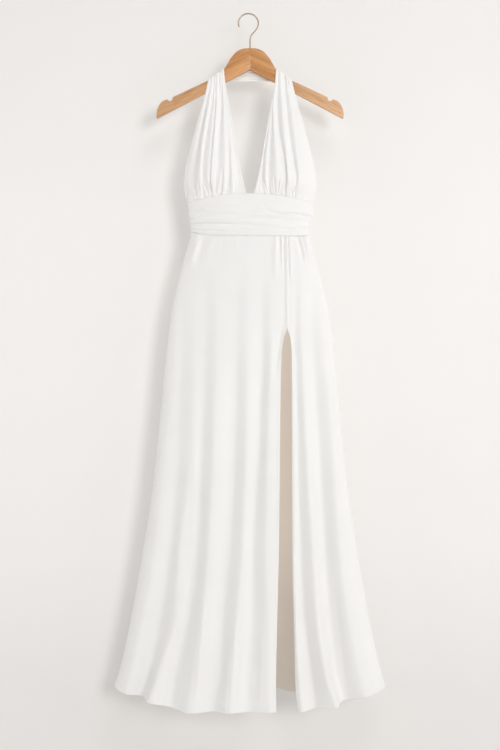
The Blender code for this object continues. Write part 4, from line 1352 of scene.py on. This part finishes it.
def neck_band(looks):
    """The band behind the neck, from one halter panel to the other."""
    shares = spans((1.0, NECK_ROWS))
    line_x, _, line_drop = halter_row(0.0, shares)
    reach = line_x - LOOP_DEPTH - HALF_GAP
    back = np.full_like(reach, LOOP_OUT)
    places = np.linspace(-1, 1, NECK_COLUMNS + 1)
    sheet = np.stack([np.stack([reach * at, back, -line_drop], axis=-1) for at in places])
    lift = sum(NECK_RIDGE_LIFT * bump(shares - at, NECK_RIDGE_SPREAD) for at in NECK_RIDGES)
    sheet[..., 1] += lift[None, :]
    normals = np.zeros_like(sheet)
    normals[..., 1] = 1
    away = np.minimum(distance_from(sheet, "left"), distance_from(sheet, "right"))
    thickness = CLOTH + (HEM_CLOTH - CLOTH) * (1 - ease((away - EDGE_STEP) / EDGE_STEP))
    made = shell("neck_band_cloth", sheet, normals, thickness, looks)
    cloth_piece(made, "neck_band")


# Hanger
def arm_outline():
    """Outline of one arm in X and drop, from its centre out along the top and back below."""
    last = ARM_TOP[-1]
    top_out = np.linspace(0, last.out, ARM_STEPS + 1)
    curve = [(x, float(smooth(ARM_TOP, "top", x))) for x in top_out]
    edge = last.top + ARM_SLOPE * (NOTCH_OUT - NOTCH_RADIUS - last.out)
    curve.append((NOTCH_OUT - NOTCH_RADIUS, edge))
    bottom = edge + NOTCH_DEPTH - NOTCH_RADIUS
    for angle in np.linspace(pi, 2 * pi, NOTCH_STEPS + 1):
        curve.append(
            (NOTCH_OUT + NOTCH_RADIUS * np.cos(angle), bottom - NOTCH_RADIUS * np.sin(angle))
        )
    far_out = NOTCH_OUT + NOTCH_RADIUS
    far_edge = edge + ARM_SLOPE * 2 * NOTCH_RADIUS
    curve.append((far_out, far_edge))
    low = ARM_UNDERSIDE + UNDERSIDE_SLOPE * TIP_OUT
    fall = low - TIP_LOWER - far_edge
    for angle in np.linspace(0, pi / 2, TIP_STEPS + 1)[1:]:
        curve.append((far_out + TIP_LENGTH * np.sin(angle), far_edge + fall * (1 - np.cos(angle))))
    curve += [(TIP_OUT - inwards, low - upwards) for inwards, upwards in TIP_CORNERS]
    curve.append((0.0, ARM_UNDERSIDE))
    return curve


def arm(side_name, side, look, cutter):
    outline = arm_outline()
    half = ARM_THICKNESS / 2
    count = len(outline)
    shift = MITRE_GAP / 2
    front = [(side * (x + shift), -half, -drop) for x, drop in outline]
    back = [(side * (x + shift), half, -drop) for x, drop in outline]
    faces = [tuple(range(count)), tuple(range(2 * count - 1, count - 1, -1))]
    for i in range(count):
        j = (i + 1) % count
        faces.append((j, i, count + i, count + j))
    made = mesh_object(f"hanger_arm_{side_name}_wood", np.array(front + back), faces, [look])
    rounded = made.modifiers.new("edge", "BEVEL")
    rounded.width = ARM_EDGE * MM
    rounded.segments = ARM_EDGE_STEPS
    rounded.limit_method = "ANGLE"
    rounded.angle_limit = radians(ARM_EDGE_ANGLE)
    seat = made.modifiers.new("stem_seat", "BOOLEAN")
    seat.operation = "DIFFERENCE"
    seat.object = cutter
    apply_modifiers(made)
    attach(made, "root")
    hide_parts(f"hanger_arm_{side_name}")


def apply_modifiers(thing):
    """Puts the modified mesh in place of the plain one, shaded smooth but for real corners."""
    graph = bpy.context.evaluated_depsgraph_get()
    mesh = bpy.data.meshes.new_from_object(thing.evaluated_get(graph))
    thing.modifiers.clear()
    thing.data = mesh
    mesh.shade_smooth()
    mesh.set_sharp_from_angle(angle=radians(WOOD_SHARP))


def stem_cutter():
    """The drilled hole that the hook's stem stands in, cut half from each arm."""
    length = STEM_SEAT + STEM_CLEARANCE + STEM_HOLE_OVER
    bpy.ops.mesh.primitive_cylinder_add(
        vertices=STEM_HOLE_SIDES, radius=(WIRE / 2 + STEM_CLEARANCE) * MM, depth=length * MM
    )
    cutter = bpy.context.active_object
    cutter.name = "stem_cutter"
    middle = ARM_TOP[0].top + STEM_SEAT + STEM_CLEARANCE - length / 2
    cutter.location = (CENTRE_LINE * MM, 0, -middle * MM)
    return cutter


def hook_path():
    """Centre line of the hook's wire, from its tip over the crown and down to the stem."""
    crown = -(HOOK_RADIUS - WIRE / 2)
    centre = np.array([-CENTRE_LINE, crown])
    angles = np.radians(np.linspace(HOOK_TIP_ANGLE, HOOK_NECK_ANGLE, RING_STEPS + 1))
    ring = centre + HOOK_RADIUS * np.stack([np.cos(angles), np.sin(angles)], axis=-1)
    end = np.array([0.0, -STEM_TURN])
    heading = np.array([np.sin(angles[-1]), -np.cos(angles[-1])])
    reach = np.linalg.norm(end - ring[-1])
    f = np.linspace(0, 1, BEND_STEPS + 1)[1:, None]
    bend = (
        (1 - f) ** 3 * ring[-1]
        + 3 * f * (1 - f) ** 2 * (ring[-1] + heading * reach * BEND_AT_RING)
        + 3 * f**2 * (1 - f) * (end + np.array([0, 1]) * reach * BEND_AT_STEM)
        + f**3 * end
    )
    seat = np.array([[0.0, -(ARM_TOP[0].top + STEM_SEAT)]])
    return np.concatenate([ring, bend, seat])


def hook(look):
    """The hook's round wire, swept along its centre line, with a domed tip."""
    path = hook_path()
    sides = WIRE_SIDES
    around = np.linspace(0, 2 * pi, sides, endpoint=False)
    heading = unit(np.gradient(path, axis=0))
    dome = np.linspace(0, pi / 2, DOME_STEPS + 1)[1:]
    rings = []
    for t in dome[::-1]:
        rings.append((path[0] - heading[0] * WIRE / 2 * np.sin(t), heading[0], np.cos(t)))
    for place, way in zip(path, heading):
        rings.append((place, way, 1.0))
    points = []
    for place, way, size in rings[1:]:
        side = np.array([way[1], 0, -way[0]])
        for turn in around:
            reach = side * np.cos(turn) + np.array([0, 1, 0]) * np.sin(turn)
            points.append(np.array([place[0], 0, place[1]]) + reach * WIRE / 2 * size)
    count = len(rings) - 1
    faces = []
    for ring in range(0, (count - 1) * sides, sides):
        for k in range(sides):
            after = (k + 1) % sides
            faces.append((ring + k, ring + after, ring + sides + after, ring + sides + k))
    tip = rings[0][0]
    points.append(np.array([tip[0], 0, tip[1]]))
    points.append(np.array([path[-1][0], 0, path[-1][1]]))
    for k in range(sides):
        after = (k + 1) % sides
        faces.append((len(points) - 2, after, k))
        faces.append((len(points) - 1, (count - 1) * sides + k, (count - 1) * sides + after))
    made = mesh_object("hanger_hook_wire", np.array(points), faces, [look])
    made.data.set_sharp_from_angle(angle=radians(WIRE_SHARP))
    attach(made, "root")
    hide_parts("hanger_hook")


# Stage, lights and camera
def plane(name, corners, look):
    mesh = bpy.data.meshes.new(name)
    mesh.from_pydata([Vector(corner) * MM for corner in corners], [], [(0, 1, 2, 3)])
    mesh.materials.append(look)
    new_object(name, mesh)


def stage():
    wide = STAGE_REACH
    foot = -FLOOR_DROP
    wall = [(-wide, foot), (wide, foot), (wide, WALL_TOP), (-wide, WALL_TOP)]
    ground = [(-wide, -wide), (wide, -wide), (wide, wide), (-wide, wide)]
    plane(
        "wall",
        [(x, WALL_BEHIND, z) for x, z in wall],
        # The wall's glow is painted light, weaker towards its foot and top as painted shade
        paint("pale_wall", (0.695, 0.685, 0.675), WALL_PAINTED_GLOW, True),
    )
    plane(
        "floor",
        [(x, y, foot) for x, y in ground],
        paint("pale_floor", (0.70, 0.69, 0.68), FLOOR_GLOW, False),
    )


def lights():
    for lamp in LAMPS:
        made = bpy.data.lights.new(lamp.name, "AREA")
        made.shape = "RECTANGLE"
        made.size, made.size_y = lamp.size
        made.energy = lamp.watts
        made.color = lamp.colour
        thing = new_object(lamp.name, made)
        thing.location = Vector(lamp.at)
        facing = Vector(LAMPS_FACE) - thing.location
        thing.rotation_euler = facing.to_track_quat("-Z", "Y").to_euler()
        thing.visible_camera = False
    world = bpy.data.worlds.new("pale_room")
    world.use_nodes = True
    background = world.node_tree.nodes["Background"]
    background.inputs["Color"].default_value = (*ROOM_COLOUR, 1)
    background.inputs["Strength"].default_value = ROOM_STRENGTH
    bpy.context.scene.world = world
    bpy.context.scene.view_settings.view_transform = "Standard"


def camera():
    lens = bpy.data.cameras.new("camera")
    lens.lens = CAMERA_LENS
    lens.sensor_width = CAMERA_SENSOR
    lens.clip_end = CAMERA_SEES
    thing = new_object("camera", lens)
    thing.location = Vector(CAMERA_AT) * MM
    thing.rotation_euler = (pi / 2, 0, 0)
    bpy.context.scene.camera = thing


def main():
    outside = jersey("white_jersey", (0.93, 0.925, 0.915), (0.905, 0.9, 0.89))
    # The inside of the cloth is a dark warm beige, painted shade for cloth seen in the skirt's
    # shadow, with a painted glow by height
    inside = jersey("jersey_inside_painted_shade", (0.50, 0.45, 0.40), (0.46, 0.41, 0.36), INSIDE_PAINTED_GLOW)
    sewing = thread("white_thread")
    plain = [outside]
    with_painted_shade_inside = [outside, inside]

    camera()
    lights()
    stage()
    cutter = stem_cutter()
    arm("left", -1, beech("beech_left", -atan(ARM_SLOPE)), cutter)
    arm("right", 1, beech("beech_right", atan(ARM_SLOPE)), cutter)
    bpy.data.objects.remove(cutter)
    hook(wire_metal("hook_wire"))
    halter_panel("left", LEFT_PLEATS, LEFT_HALTER_CREASES, -1, plain)
    halter_panel("right", RIGHT_PLEATS, RIGHT_HALTER_CREASES, 1, plain)
    neck_band(plain)
    waistband("front", FRONT_RUCHES, FRONT_BAND_CREASES, plain)
    waistband("back", BACK_RUCHES, BACK_BAND_CREASES, plain)
    for panel in FRONT_PANELS:
        front_skirt(panel, with_painted_shade_inside, sewing)
    back_skirt(with_painted_shade_inside, sewing)


main()
